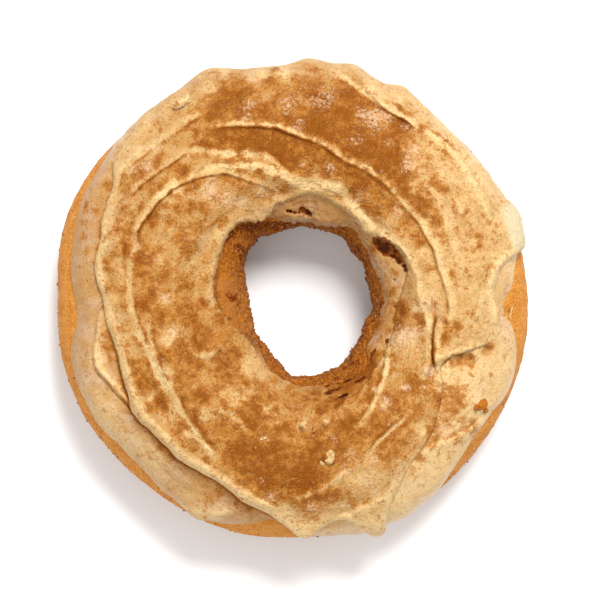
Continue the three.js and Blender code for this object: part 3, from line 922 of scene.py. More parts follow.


# Patches of cinnamon, some of which paint shade under the flake and beside the swirl's edges: x, y, size and
# strength of each, as in the tables after it
CINNAMON_AND_SHADE = (
    (-11.4, 39.6, 2.4, 1.0), (-10.3, 42.6, 1.3, 0.8), (-4.3, 42.8, 1.3, 0.7), (-6.1, 36.0, 2.6, 0.8),
    (-8.6, 31.6, 3.0, 1.0), (-3.9, 30.4, 3.2, 1.1), (-0.7, 27.9, 2.8, 1.1), (-14.5, 32.2, 2.6, 0.7),
    (-27.8, 34.7, 1.5, 0.8), (-26.2, 28.5, 1.2, 1.0), (-30.0, 24.5, 2.0, 0.8), (-22.0, 25.2, 1.7, 0.9),
    (-34.1, 21.7, 1.5, 0.8), (-33.2, 17.5, 1.6, 0.8), (-37.3, 12.7, 0.9, 1.1), (-31.9, 12.7, 1.5, 0.9),
    (-35.4, 9.2, 1.6, 0.9), (-37.0, 7.4, 1.1, 1.0), (-36.4, 2.8, 1.5, 0.8), (-29.8, 5.6, 1.8, 1.1),
    (-25.0, 4.4, 1.5, 0.9), (-28.4, 7.0, 1.0, 0.6), (-22.3, 17.5, 1.6, 0.9), (-18.8, 13.4, 1.4, 0.9),
    (-20.4, 9.5, 1.6, 0.9), (-22.6, 11.6, 1.4, 0.8), (-14.1, 15.0, 1.4, 0.8), (-21.4, 2.5, 1.7, 0.9),
    (-14.7, 19.8, 1.2, 0.7), (-29.0, 15.5, 1.8, 0.7), (-25.8, 18.8, 1.6, 0.6), (-17.4, 17.6, 1.2, 0.8),
    (-19.2, 22.2, 1.2, 0.7), (11.3, 38.9, 3.4, 1.0), (7.5, 35.7, 4.2, 1.0), (13.9, 34.2, 4.0, 0.9),
    (18.8, 29.0, 2.8, 1.0), (21.4, 34.2, 2.4, 1.1), (18.6, 26.4, 3.2, 1.1), (21.2, 23.7, 3.0, 1.0),
    (26.4, 17.6, 2.0, 1.0), (28.4, 15.6, 1.8, 0.8), (2.0, 41.5, 2.4, 0.6), (3.5, 36.5, 3.2, 0.9),
    (10.2, 41.6, 2.4, 0.8), (2.7, 28.9, 3.6, 1.1), (9.1, 26.6, 3.4, 1.1), (12.3, 23.1, 2.8, 1.0),
    (15.4, 20.9, 2.6, 0.9), (19.3, 18.6, 1.9, 0.8), (23.0, 19.8, 2.0, 0.9), (25.2, 12.6, 1.3, 0.6),
    (30.1, 29.0, 0.9, 0.8), (37.4, 12.1, 1.1, 1.0), (34.9, 12.3, 0.7, 0.7), (37.4, 10.2, 0.8, 0.8),
    (34.6, 17.2, 0.7, 0.5), (25.6, 33.8, 0.9, 0.9), (21.2, 37.9, 0.9, 0.8), (20.2, 13.4, 0.9, 0.8),
    (25.0, 10.8, 0.9, 0.8), (26.9, 4.8, 0.9, 0.9), (31.4, 4.4, 0.9, 0.8), (19.9, 0.9, 0.9, 0.8),
    (30.5, 21.6, 0.9, 0.7), (28.0, 24.2, 1.0, 0.6), (33.0, 22.0, 0.7, 0.6), (16.3, 15.0, 0.8, 0.5),
    (-29.4, -1.5, 2.6, 1.0), (-26.2, -3.7, 2.6, 1.0), (-21.4, -2.9, 2.4, 1.0), (-25.5, -11.7, 1.8, 1.0),
    (-31.3, -13.0, 1.9, 0.9), (-29.4, -16.5, 2.6, 1.1), (-31.8, -15.8, 1.6, 0.8), (-26.2, -20.9, 1.8, 1.0),
    (-28.0, -22.4, 1.3, 0.8), (-21.4, -15.8, 1.8, 0.9), (-18.2, -19.6, 2.2, 0.9), (-22.4, -25.7, 1.9, 0.9),
    (-19.6, -29.4, 1.6, 0.8), (-14.1, -24.1, 2.0, 0.9), (-8.6, -21.6, 2.4, 0.9), (-7.0, -25.7, 2.6, 1.0),
    (-11.8, -29.0, 2.9, 1.1), (-8.6, -31.4, 3.0, 1.1), (-4.6, -31.0, 3.0, 1.1), (-2.0, -34.0, 3.0, 1.0),
    (-10.2, -34.2, 2.2, 1.0), (-5.4, -36.9, 2.8, 1.0), (-1.2, -39.2, 1.9, 1.0), (-13.4, -13.0, 1.8, 0.9),
    (-17.6, -8.2, 1.8, 1.0), (-22.6, -11.2, 1.6, 0.9), (-35.7, -1.8, 1.2, 0.8), (-33.9, -2.1, 1.0, 0.7),
    (-22.8, -16.6, 1.0, 1.0), (-21.2, -21.2, 1.1, 0.9), (-19.4, -25.2, 1.5, 1.0), (-16.6, -28.4, 1.5, 1.0),
    (-33.6, -9.6, 1.0, 0.7), (-23.2, -13.6, 0.8, 0.8), (-17.0, 3.4, 1.4, 0.7), (-18.2, -1.4, 1.4, 0.7),
    (21.8, -2.7, 1.4, 1.0), (25.4, -4.3, 1.4, 1.0), (20.9, -5.6, 1.2, 0.9), (32.7, -5.9, 1.3, 1.0),
    (30.4, -7.5, 1.2, 0.8), (39.4, -9.2, 1.2, 0.8), (23.4, -16.5, 1.9, 0.9), (26.4, -18.4, 2.0, 0.9),
    (19.9, -21.1, 2.0, 0.9), (33.0, -20.0, 1.8, 1.1), (30.6, -21.6, 1.4, 0.8), (25.0, -22.8, 1.8, 0.9),
    (18.6, -27.3, 2.0, 0.9), (21.8, -29.4, 2.0, 0.9), (23.1, -32.0, 1.5, 0.9), (18.8, -33.0, 1.0, 0.6),
    (10.7, -25.7, 2.9, 0.9), (9.1, -28.9, 2.9, 1.0), (4.3, -28.9, 2.4, 0.9), (2.7, -33.6, 3.0, 1.0),
    (1.4, -36.6, 3.0, 1.1), (5.9, -39.4, 2.0, 1.0), (9.2, -39.6, 1.3, 0.8), (12.3, -41.2, 0.9, 0.7),
    (3.6, -41.8, 1.3, 0.9), (16.1, -16.8, 1.6, 0.7), (14.8, -19.3, 1.6, 0.8), (2.7, -20.2, 1.6, 0.7),
    (-36.6, -9.8, 1.3, 1.3), (-36.0, -12.4, 1.1, 1.0), (-37.2, -7.6, 0.9, 0.9), (38.9, -9.4, 0.7, 1.0),
    (32.4, -19.6, 1.7, 1.3), (35.2, -15.4, 0.6, 0.7), (33.6, -14.6, 0.5, 0.6), (37.6, -16.6, 0.5, 0.6),
    (39.6, -15.4, 0.5, 0.7), (34.6, -17.6, 0.5, 0.6), (-37.8, -5.8, 0.5, 0.5), (-40.6, -6.0, 0.6, 0.4),
    (-40.6, 9.6, 0.8, 0.6), (-41.4, 15.0, 0.8, 0.6), (-40.8, 6.4, 0.7, 0.5), (-34.0, -26.2, 0.8, 0.4),
    (-30.4, -31.6, 0.9, 0.5), (-24.6, -38.6, 0.8, 0.5), (36.4, -26.4, 0.8, 0.6), (31.6, -31.6, 1.0, 0.4),
    (-41.2, 17.6, 0.6, 1.3), (-41.8, 14.7, 0.5, 1.1), (-41.8, 11.8, 0.7, 1.1), (-41.2, 9.0, 0.6, 1.0),
    (-41.0, 18.8, 0.5, 1.1), (-42.6, 6.0, 0.5, 0.8), (-40.2, 21.4, 0.6, 0.7), (26.0, 33.0, 1.4, 0.7),
    (31.0, 30.6, 1.0, 0.4), (-11.0, -11.2, 1.5, 0.8), (-5.0, -17.2, 1.2, 0.6), (38.4, 20.0, 0.6, 0.5),
    (-33.4, -12.2, 1.1, 1.2), (-32.2, -17.6, 1.2, 1.2), (-34.4, -6.2, 0.8, 0.9), (-25.6, -29.6, 1.3, 0.8),
    (-24.0, -31.6, 1.1, 0.8), (-10.2, -24.4, 1.3, 1.2), (-9.6, -26.8, 1.1, 1.0), (-4.0, -23.2, 1.2, 1.0),
    (-22.2, -17.4, 1.1, 1.1), (-21.6, -20.4, 1.1, 1.0), (-28.6, -13.2, 1.1, 1.0), (-29.2, -9.0, 0.8, 0.9),
    (-17.4, -8.8, 1.4, 1.2), (-32.6, 9.5, 1.0, 1.2), (-36.4, 1.4, 1.1, 1.1), (-36.0, 5.4, 0.9, 1.0),
    (-33.4, 1.2, 0.9, 0.9), (-29.6, 5.8, 1.1, 1.2), (-27.6, 14.2, 1.2, 1.0), (-28.2, 17.4, 0.9, 0.9),
    (-31.6, 23.8, 1.1, 0.9), (-20.8, 9.0, 1.2, 0.9), (-37.6, 12.6, 0.9, 1.1), (-41.0, 17.0, 0.6, 1.2),
    (-15.0, 45.4, 1.2, 0.8), (-10.6, 45.8, 1.2, 0.8), (-6.4, 45.8, 1.1, 0.9), (-3.2, 46.0, 1.0, 1.1),
    (-6.2, 27.8, 0.7, 0.9), (-12.0, 26.4, 1.3, 0.8), (-1.6, 21.6, 1.0, 0.7), (2.6, 25.2, 1.6, 1.0),
    (7.4, 24.6, 1.4, 1.0), (11.6, 23.8, 1.2, 1.0), (8.2, 31.2, 1.1, 0.8), (16.6, 34.2, 1.1, 1.0),
    (15.0, -16.0, 1.4, 1.2), (16.2, -13.6, 1.0, 1.0), (19.8, -6.6, 0.7, 0.9), (21.9, -2.8, 0.8, 0.9),
    (25.4, -4.4, 0.9, 1.0), (24.8, -6.4, 0.8, 0.9), (30.8, -19.4, 1.2, 0.9), (35.4, -11.9, 0.7, 0.8),
    (31.6, -13.6, 0.9, 1.2), (31.2, -19.8, 1.5, 1.2), (32.8, -20.6, 1.2, 1.0), (28.8, -25.4, 1.4, 1.0),
    (28.0, -27.8, 1.0, 1.0), (36.0, -26.4, 1.4, 0.8), (32.4, -28.2, 1.2, 0.7), (17.2, -29.0, 1.2, 1.0),
    (25.4, -31.8, 1.1, 1.0), (24.0, -35.0, 1.0, 0.8), (4.8, -38.8, 1.2, 0.8), (7.6, -33.8, 1.1, 0.8),
    (0.2, -40.8, 1.0, 0.9), (5.2, -44.0, 1.1, 0.9), (11.8, -40.4, 1.1, 0.7), (6.6, -22.8, 1.0, 0.9),
    (13.2, -20.6, 1.1, 0.9), (22.4, -24.8, 1.0, 0.9), (26.4, -21.2, 0.9, 0.9), (-12.8, 26.2, 1.2, 1.1),
    (-3.2, 27.0, 1.2, 1.0), (-4.8, 34.6, 1.3, 1.0), (-9.4, 29.2, 1.2, 0.8), (-16.4, 29.2, 1.3, 0.9),
    (-18.2, 22.2, 1.2, 0.9), (-20.6, 18.0, 1.0, 0.8), (-17.4, 17.0, 1.0, 0.8), (-15.4, 34.2, 1.2, 0.8),
    (-12.4, 38.6, 0.9, 1.0), (-32.2, 9.6, 0.7, 1.2), (-29.4, 5.2, 1.2, 0.8), (-38.8, 16.8, 0.8, 0.9),
    (-37.0, 12.4, 0.9, 0.9), (-33.4, -13.4, 0.8, 1.1), (-32.6, -16.8, 0.8, 1.0), (-27.8, -12.0, 0.8, 1.0),
    (-17.0, -9.2, 0.9, 1.0), (-20.4, -24.6, 1.0, 0.9), (-25.0, -28.0, 1.3, 0.7), (-17.6, -32.2, 1.3, 0.9),
    (-9.6, -25.0, 0.9, 1.0), (-5.6, -9.8, 0.8, 0.8), (-3.4, -16.8, 0.8, 0.9), (2.6, 43.4, 1.2, 0.8),
    (0.0, 33.2, 1.0, 0.8), (18.2, 33.8, 1.3, 0.9), (28.4, 25.2, 1.0, 0.5), (16.4, 20.2, 1.2, 1.0),
    (12.4, 20.4, 1.2, 1.0), (14.6, 16.8, 1.0, 0.9), (20.6, 4.8, 0.8, 0.8), (21.2, -4.8, 0.8, 0.6),
    (-16.2, 35.4, 1.4, 1.0), (-6.0, 34.9, 1.2, 1.0), (-1.0, 33.2, 1.2, 0.7), (-29.2, 5.2, 1.3, 0.9),
    (-18.6, -9.6, 1.4, 1.0), (-19.0, -12.6, 1.3, 1.0), (-35.0, 13.6, 0.7, 0.9), (-36.2, 19.6, 0.8, 0.8),
    (-34.0, 24.2, 0.8, 0.7), (-22.8, 30.6, 1.0, 0.7), (-26.0, 33.2, 0.8, 0.7), (-15.0, -1.8, 1.1, 0.8),
    (-13.2, -21.6, 1.4, 0.9), (-4.2, -19.6, 1.0, 0.7), (-11.4, 44.0, 1.2, 0.6), (-17.4, 44.4, 0.9, 0.6),
    (-21.0, 35.4, 0.9, 0.5), (-8.4, 40.6, 0.8, 0.5), (28.8, -19.2, 1.2, 1.0), (31.4, -19.4, 1.6, 0.9),
    (-24.4, -29.4, 1.1, 0.5), (-21.6, -32.4, 1.0, 0.5), (12.2, 32.8, 1.2, 0.4), (30.4, 12.2, 0.9, 0.6),
    (32.4, 7.6, 0.9, 0.5), (28.2, 17.4, 0.8, 0.6), (16.6, -15.6, 1.2, 0.9), (12.6, -19.0, 1.2, 0.9),
    (-13.2, 37.9, 1.8, 1.0), (-14.6, 35.2, 2.0, 0.9), (-11.0, 35.0, 1.4, 0.8), (-3.4, 35.3, 1.3, 0.8),
    # (-23.2, 37.0) paints the shadow under the flake at the upper left.
    (-17.4, 31.0, 1.8, 0.9), (-19.2, 32.6, 1.3, 0.7), (-23.2, 37.0, 1.1, 0.7), (-20.4, 36.8, 1.1, 0.5),
    (18.0, 34.0, 1.1, 0.9), (19.2, 22.8, 1.6, 1.0), (17.6, 24.6, 1.0, 0.8), (16.6, 17.8, 1.7, 1.0),
    (14.0, 18.8, 1.3, 0.9), (24.6, 16.8, 1.2, 1.0), (22.0, 14.8, 1.1, 0.6), (29.4, 18.0, 0.9, 0.7),
    (29.0, 21.4, 1.0, 0.9), (27.6, 22.8, 0.9, 0.6), (31.8, 27.4, 1.2, 0.4), (-37.0, 22.4, 1.2, 1.0),
    (-32.4, 21.0, 1.4, 1.0), (-39.0, 16.9, 0.9, 0.9), (-37.0, 12.6, 0.9, 0.9), (-38.4, 9.6, 0.8, 0.8),
    (-37.5, 5.6, 1.1, 0.8), (-36.6, 1.4, 0.9, 0.8), (-32.3, 9.6, 0.8, 0.9), (-26.8, 26.4, 1.4, 0.9),
    (-21.4, 23.4, 1.0, 0.9), (-20.8, 21.0, 0.9, 0.9), (-24.0, 15.0, 1.4, 0.7), (-20.2, 17.4, 1.2, 0.7),
    (-27.4, 0.2, 1.2, 1.0), (-34.5, 15.2, 0.9, 0.8), (-30.8, 14.6, 0.8, 0.8), (-21.8, -9.2, 1.5, 1.0),
    (-17.0, -6.8, 1.7, 1.1), (-20.2, -11.8, 1.4, 0.9), (-19.4, -13.8, 1.3, 0.8), (-14.4, -11.4, 1.4, 0.8),
    (-12.6, -16.2, 2.3, 1.0), (-9.4, -16.8, 1.7, 0.8), (-14.6, -18.8, 1.3, 0.8), (-14.2, -4.4, 1.5, 0.8),
    (-12.8, -6.4, 1.3, 0.7), (-11.0, -13.4, 1.4, 0.6), (-4.2, -23.4, 1.3, 1.0), (-10.4, -25.4, 1.2, 0.9),
    (-17.2, -26.2, 1.0, 0.8), (-19.0, -22.8, 1.1, 0.8), (-33.4, -11.0, 1.0, 0.9), (-32.4, -17.0, 1.1, 0.9),
    # (-16.5, -39.8) and (-14.6, -38.8) paint the shadow under the swirl's edge at the bottom left.
    (-30.0, -9.6, 0.8, 0.7), (-16.5, -39.8, 1.4, 0.9), (-14.6, -38.8, 1.0, 0.9), (-8.5, -42.2, 0.7, 1.3),
    (-11.0, -41.0, 1.0, 0.7), (14.6, -13.4, 1.5, 1.2), (13.0, -16.0, 1.7, 1.2), (11.0, -18.5, 1.7, 1.1),
    (8.5, -20.8, 1.7, 1.0), (5.5, -22.2, 1.5, 0.9), (5.0, -19.2, 1.4, 1.0), (16.4, -11.8, 1.0, 1.0),
    # The last patch on this line and the seven after it, to (33.6, -28.6), are partly painted shade along
    # the swirl's edge at the lower right.
    (2.6, -22.2, 1.2, 0.7), (1.6, -25.2, 0.9, 0.6), (0.5, -18.4, 1.4, 0.7), (29.6, -17.6, 1.4, 1.0),
    (29.4, -21.4, 1.6, 1.1), (30.6, -24.2, 1.6, 0.9), (27.8, -26.4, 1.6, 0.9), (27.2, -29.0, 1.2, 0.8),
    (34.4, -25.0, 1.3, 0.6), (32.4, -22.6, 1.5, 1.0), (33.6, -28.6, 1.1, 0.7), (27.0, -13.0, 1.3, 1.0),
    (28.5, -10.8, 1.0, 1.0), (29.8, -5.2, 1.3, 0.9), (25.8, -5.2, 0.9, 1.0), (21.0, -6.4, 1.0, 0.9),
    (19.4, -11.0, 1.4, 0.8), (17.2, -5.4, 1.2, 0.7), (20.8, -1.8, 1.0, 0.8), (22.4, -24.5, 1.0, 0.9),
    (18.0, -28.8, 1.2, 0.9), (5.4, -32.6, 1.2, 1.0), (20.8, 4.8, 0.9, 0.8), (20.8, 1.8, 0.9, 0.8),
    (16.0, 9.6, 1.0, 0.8), (33.0, -13.0, 0.8, 0.9), (42.6, -2.6, 1.0, 0.8), (13.5, -30.5, 1.8, 0.6),
    (24.2, -10.8, 1.0, 0.6), (27.6, -12.4, 0.9, 0.6), (35.4, -14.0, 0.8, 0.6), (-15.2, 11.0, 1.2, 0.6),
    (-1.5, -26.0, 1.6, 0.7), (29.5, -30.5, 1.0, 0.4), (36.0, -24.6, 1.0, 0.6),
)
# Broad light dustings under the patches; those on the outer slope at the upper right also paint shade there
HAZE = (
    (4.0, 36.0, 10.0, 0.64), (13.0, 33.0, 6.0, 0.5), (31.0, 30.0, 8.0, 0.18), (33.0, 32.0, 5.0, 0.16),
    (40.0, 24.0, 4.0, 0.16), (39.0, 24.0, 5.0, 0.14), (22.0, 40.5, 5.0, 0.12), (-16.0, -10.0, 6.0, 0.35),
    (-12.0, -16.0, 4.0, 0.35), (18.0, 28.0, 7.5, 0.85), (-8.0, 31.5, 8.0, 0.80), (-14.0, 40.5, 6.0, 0.50),
    (-28.0, 23.0, 9.0, 0.26), (-19.0, 14.0, 8.0, 0.26), (-31.0, 8.0, 7.0, 0.32), (-24.0, -4.0, 7.0, 0.34),
    (-28.0, -18.0, 6.0, 0.24), (-20.0, -26.0, 5.0, 0.36), (-6.0, -32.0, 8.0, 0.80), (3.0, -36.5, 6.0, 0.72),
    (10.0, -26.0, 7.0, 0.42), (20.0, -22.0, 8.0, 0.34), (22.0, -30.0, 6.0, 0.32), (27.0, -13.0, 6.0, 0.24),
    (22.0, -4.0, 5.0, 0.24), (28.0, 16.0, 8.0, 0.20), (34.0, 5.0, 7.0, 0.10), (35.0, 22.0, 9.0, 0.14),
    (-6.0, -21.0, 5.0, 0.36), (21.0, 39.0, 5.0, 0.24), (-13.0, -9.0, 4.0, 0.30), (33.0, -24.0, 7.0, 0.22),
    (-37.0, 14.0, 5.0, 0.30), (-36.4, -10.5, 2.6, 0.40),
)
# Patches of sugar
SUGAR = (
    (-16.6, 21.3, 2.2, 1.0), (-12.8, 19.4, 1.8, 1.0), (-10.2, 18.8, 1.3, 0.9), (-5.8, 21.4, 1.4, 0.9),
    (-9.3, 35.8, 1.2, 0.9), (-28.7, 25.9, 1.6, 0.8), (-8.3, 43.4, 1.2, 0.8), (-1.3, 37.9, 1.8, 0.8),
    (16.3, 35.4, 2.6, 1.1), (13.9, 36.4, 1.4, 0.9), (18.8, 35.8, 1.2, 0.8), (7.2, 39.8, 1.8, 0.7),
    (4.2, 39.2, 1.6, 0.7), (23.1, 26.1, 1.9, 0.9), (24.4, 29.0, 1.4, 0.8), (2.1, 26.5, 1.1, 0.8),
    (7.5, 25.8, 1.2, 0.8), (13.2, 19.9, 1.4, 0.7), (20.5, 17.2, 1.1, 0.7), (-25.2, -0.5, 1.4, 1.0),
    (-23.6, -6.9, 1.5, 0.9), (-26.3, -12.4, 1.0, 0.7), (-5.4, -28.0, 0.7, 1.0), (-4.5, -39.7, 1.1, 0.7),
    (-38.0, -12.3, 1.2, 0.7), (21.8, -7.8, 2.1, 1.0), (24.6, -6.6, 1.2, 0.8), (27.0, -14.5, 1.3, 1.0),
    (22.5, -17.8, 1.1, 0.9), (26.0, -17.7, 0.7, 0.8), (18.6, -20.6, 1.0, 0.9), (29.8, -25.7, 1.4, 0.7),
    (11.0, -30.9, 1.1, 0.7), (16.1, -32.6, 1.3, 0.7), (4.3, -41.7, 1.1, 0.6), (15.4, -36.4, 1.6, 0.5),
    (-8.5, 38.3, 1.5, 0.7), (-6.0, 39.7, 1.1, 0.5), (0.6, 39.5, 1.5, 0.7), (2.2, 42.0, 1.4, 0.6),
    (6.0, 38.0, 1.9, 0.6), (6.0, 42.6, 1.2, 0.5), (1.4, 34.4, 1.5, 0.8), (12.4, 30.8, 1.7, 0.6),
    (19.2, 30.6, 1.1, 0.7), (22.6, 33.8, 1.2, 0.7), (23.0, 28.2, 1.2, 0.5), (-27.0, 29.5, 1.3, 0.6),
    (-32.0, 25.2, 1.5, 0.6), (-30.8, 10.0, 1.0, 0.6), (-26.6, 7.6, 1.1, 0.6), (-5.8, -36.4, 1.0, 0.6),
    (10.6, -33.8, 1.3, 0.7), (13.2, -36.0, 1.4, 0.6), (16.4, -39.4, 1.4, 0.7), (9.6, -41.2, 1.2, 0.6),
    (3.6, -41.4, 1.1, 0.6), (18.2, -21.8, 1.1, 0.7), (16.6, -18.2, 0.9, 0.6), (8.2, -28.0, 0.9, 0.6),
    (4.4, -27.4, 1.1, 0.6), (24.4, -2.6, 1.1, 0.7), (24.6, -10.4, 1.0, 0.6), (18.0, 24.8, 1.0, 0.5),
    (-20.6, 20.0, 1.2, 0.5), (-26.0, -24.6, 0.8, 0.5), (19.0, -25.0, 0.8, 0.5), (36.0, -23.5, 1.6, 0.45),
    (31.0, -28.0, 1.4, 0.3), (38.0, -17.0, 1.2, 0.3), (34.4, -17.0, 0.8, 0.5), (41.0, -8.0, 1.2, 0.3),
    (-37.4, -15.6, 1.0, 0.6), (-38.4, -10.4, 0.9, 0.6), (-33.0, -29.0, 2.0, 0.4), (-26.0, -36.0, 2.0, 0.4),
    (-41.0, 8.0, 1.5, 0.4), (-40.4, 16.4, 1.6, 0.4), (-34.2, 4.6, 1.0, 0.5), (-31.0, 12.0, 0.8, 0.5),
    (26.8, -2.0, 0.8, 0.5), (28.4, 21.0, 1.2, 0.5), (30.0, 25.4, 1.2, 0.5),
)
# Clean pale places, and painted light on some shaded flanks and edges
PALE_AND_LIT = (
    (1.8, 22.7, 1.3, 0.8), (4.4, 22.6, 1.2, 0.7), (7.0, 22.2, 1.1, 0.7), (9.3, 22.0, 0.8, 0.8),
    (10.4, 20.6, 1.0, 0.6), (12.4, 18.5, 1.0, 0.8), (13.6, 15.8, 1.2, 0.6), (15.8, 13.4, 1.4, 0.6),
    (18.6, 12.4, 1.3, 0.6), (15.5, 41.4, 1.6, 0.8), (18.0, 40.2, 1.2, 0.6), (21.0, 39.0, 1.5, 0.8),
    (32.4, 23.2, 1.5, 0.6), (19.6, 30.4, 1.0, 0.5), (26.0, 8.6, 1.2, 0.6), (27.2, 4.2, 1.3, 0.6),
    (27.8, 1.2, 1.3, 0.6), (44.0, 4.6, 1.8, 0.5), (37.6, -6.8, 1.3, 0.5), (20.0, -10.0, 1.0, 0.6),
    (24.0, -9.8, 1.8, 0.4), (16.6, -18.4, 0.8, 0.7), (15.2, -21.6, 0.9, 0.5), (18.6, -22.0, 1.2, 0.5),
    (25.4, -26.2, 1.5, 0.6), (17.6, -36.8, 1.2, 0.5), (-33.6, 31.6, 2.0, 0.4), (-28.4, 34.6, 2.0, 0.4),
    (-23.0, 38.4, 1.2, 0.6), (-14.0, 45.6, 1.4, 0.4), (-6.0, 44.6, 1.2, 0.6), (-25.4, 19.6, 1.1, 0.9),
    (-23.0, 21.2, 1.1, 0.8), (-14.8, 12.0, 1.8, 0.5), (-9.8, 18.6, 1.2, 0.4), (-34.2, -18.6, 1.0, 0.9),
    (-28.0, -19.8, 1.2, 0.5), (-23.0, -25.2, 0.9, 0.6), (-9.4, -19.4, 1.5, 0.6), (-6.6, -26.2, 0.9, 0.5),
    (-4.0, -43.0, 1.2, 0.8), (-0.6, -44.0, 1.5, 0.8), (-15.8, -6.6, 1.2, 0.5), (18.3, -15.0, 0.5, 0.9),
    # The last patch on this line and the first three on the next paint light on the shaded inner side of the
    # long ridge at the left.
    (18.5, -12.6, 0.6, 0.9), (19.2, -10.6, 0.6, 0.7), (17.3, -17.8, 0.5, 0.7), (-25.3, -14.6, 1.2, 0.9),
    (-24.5, -17.2, 1.1, 0.8), (-22.6, -21.2, 1.0, 0.6), (-20.6, -27.2, 1.2, 0.6), (-27.2, 29.2, 1.3, 0.6),
    (-32.2, 25.2, 1.4, 0.5), (-12.5, 28.4, 1.1, 0.8), (-9.0, 28.6, 1.1, 0.8), (-5.6, 28.0, 1.0, 0.8),
    (-7.8, 25.6, 1.0, 0.8), (-4.4, 25.0, 1.0, 0.8), (14.6, 25.9, 1.0, 0.9), (24.4, 26.0, 1.4, 0.3),
    (24.0, 21.6, 1.1, 0.5), (16.5, -39.4, 1.3, 0.6), (13.4, -36.4, 1.8, 0.35), (16.0, -35.2, 1.3, 0.35),
    (24.4, -2.4, 1.1, 0.6), (29.2, 24.4, 1.0, 0.4), (-31.4, 9.0, 0.9, 0.6), (-18.0, 11.4, 1.4, 0.3),
    (-24.0, 12.6, 1.2, 0.3), (2.0, 38.8, 1.2, 0.3), (8.0, 22.0, 1.2, 0.4), (-1.5, 44.6, 1.5, 0.7),
    (-16.2, 41.6, 1.6, 0.5), (15.0, 25.4, 1.1, 0.6), (33.4, 17.4, 1.5, 0.35), (39.4, 16.2, 1.2, 0.4),
    (35.6, 10.6, 0.9, 0.4), (-14.9, -23.6, 1.1, 0.7), (-1.5, -43.0, 1.7, 0.7), (-6.0, -41.0, 1.1, 0.5),
    # (43.0, 7.6) paints light on the coat in the shade beside the fold at the right.
    (-9.0, -39.0, 1.0, 0.5), (-18.4, -43.6, 1.3, 0.6), (-15.2, -43.6, 1.2, 0.5), (43.0, 7.6, 1.5, 0.6),
    (-24.8, -8.8, 1.3, 0.5), (-21.0, 28.4, 1.0, 0.4), (-22.6, 26.8, 0.9, 0.4), (-8.4, -13.8, 1.9, 0.6),
    (-5.6, -15.6, 1.4, 0.3), (-19.6, -10.2, 0.6, 0.5), (-17.9, -11.3, 0.7, 0.7), (-15.9, -10.7, 0.6, 0.6),
    (2.0, -25.2, 0.8, 0.8), (6.6, -24.6, 0.7, 0.7), (-3.4, -24.0, 1.4, 0.6), (-5.0, -22.4, 1.0, 0.6),
    (16.2, -44.6, 2.4, 0.7), (2.4, -46.4, 2.0, 0.6), (-22.0, 38.7, 1.6, 0.7), (-30.6, 29.0, 1.6, 0.5),
    (-11.5, 24.5, 1.0, 0.6), (-13.4, -18.0, 2.2, 0.4), (-12.0, -20.6, 2.0, 0.4), (-17.0, -23.0, 1.6, 0.3),
    (-21.0, 8.0, 1.6, 0.2), (-38.6, -12.6, 1.2, 0.9), (-38.6, -9.6, 1.0, 0.5), (30.2, -15.0, 0.9, 0.9),
    (30.6, -12.4, 0.9, 0.8), *((x, y, 0.55, 0.4) for x, y in RIM),
)
# Bare marks, where dark dough shows
BARE = (
    (-1.0, 17.0, 0.35, 0.9), (-0.3, 16.9, 0.4, 1.0), (0.5, 16.75, 0.35, 0.9), (1.3, 16.7, 0.3, 0.8),
    (2.2, 17.0, 0.6, 1.2), (2.8, 16.7, 0.6, 1.3), (3.4, 16.4, 0.45, 1.0), (1.9, 17.5, 0.5, 0.8),
    (17.0, 11.2, 1.0, 1.4), (17.9, 10.4, 1.15, 1.6), (18.8, 9.7, 1.15, 1.6), (19.8, 8.9, 1.0, 1.3),
    (20.8, 8.0, 0.9, 1.1), (21.5, 7.1, 0.8, 1.0), (22.1, 6.2, 0.6, 0.9), (22.5, 5.3, 0.4, 0.8),
    (-41.2, 18.1, 0.5, 0.6), (-41.1, 19.4, 0.4, 0.5), (-41.6, 12.6, 0.5, 0.6), (-40.8, 3.2, 0.35, 0.6),
    (18.8, -8.9, 0.45, 0.9), (20.4, -1.9, 0.35, 0.8), (19.4, 1.2, 0.3, 0.7), (20.3, 3.4, 0.3, 0.6),
    (36.9, -22.2, 0.4, 0.6), (38.8, -21.4, 0.4, 0.6), (38.2, -22.8, 0.5, 0.6),
)
# Cracks in the thin icing beside the hole: bearing and radius along each
CRACKS = (
    (
        (288, 19.0), (292, 18.8), (297, 19.2), (302, 19.7), (308, 19.9), (313, 19.3), (318, 18.8),
        (322, 18.4),
    ),
    ((286, 20.6), (293, 20.2), (300, 20.8), (307, 21.2), (314, 21.8)),
    ((288, 22.4), (295, 22.0), (302, 22.5)),
    ((318, 20.2), (324, 19.4), (329, 19.2)),
)

# Burnt marks on the wall of the hole
BURNT = (
    (1.6, 15.2, 0.6, 0.9), (0.7, 15.2, 0.7, 1.0), (-0.4, 15.0, 0.8, 1.0), (-1.6, 14.5, 0.9, 1.0),
    (-2.7, 14.3, 0.9, 1.0), (-4.0, 14.3, 1.0, 1.0), (-5.3, 14.4, 1.1, 1.0), (-7.0, 14.2, 1.1, 1.0),
    (-8.2, 14.0, 1.1, 1.0), (-9.2, 13.9, 1.1, 1.0), (-10.5, 13.3, 1.0, 0.9), (-11.6, 12.4, 1.0, 1.0),
    (-13.0, 11.6, 0.8, 0.8), (-10.9, 10.0, 0.9, 1.0), (-12.0, -0.3, 0.9, 1.0), (-12.9, 0.4, 0.6, 0.8),
    (4.2, -16.6, 1.0, 0.6), (8.6, -16.2, 1.2, 0.7), (12.6, -13.0, 1.0, 0.7), (-5.6, -13.2, 1.0, 0.7),
    (12.6, 9.0, 1.0, 0.6), (-9.6, -9.2, 0.8, 0.6), (42.9, -2.4, 1.4, 0.5), (14.8, 4.6, 0.7, 0.7),
    (6.0, 14.6, 1.0, 0.6), (9.6, 12.6, 1.0, 0.6), (-11.6, 5.4, 0.8, 0.6), (-12.6, -4.4, 0.8, 0.6),
    (-10.8, -7.2, 0.8, 0.6), (-1.0, -17.4, 0.9, 0.6),
)


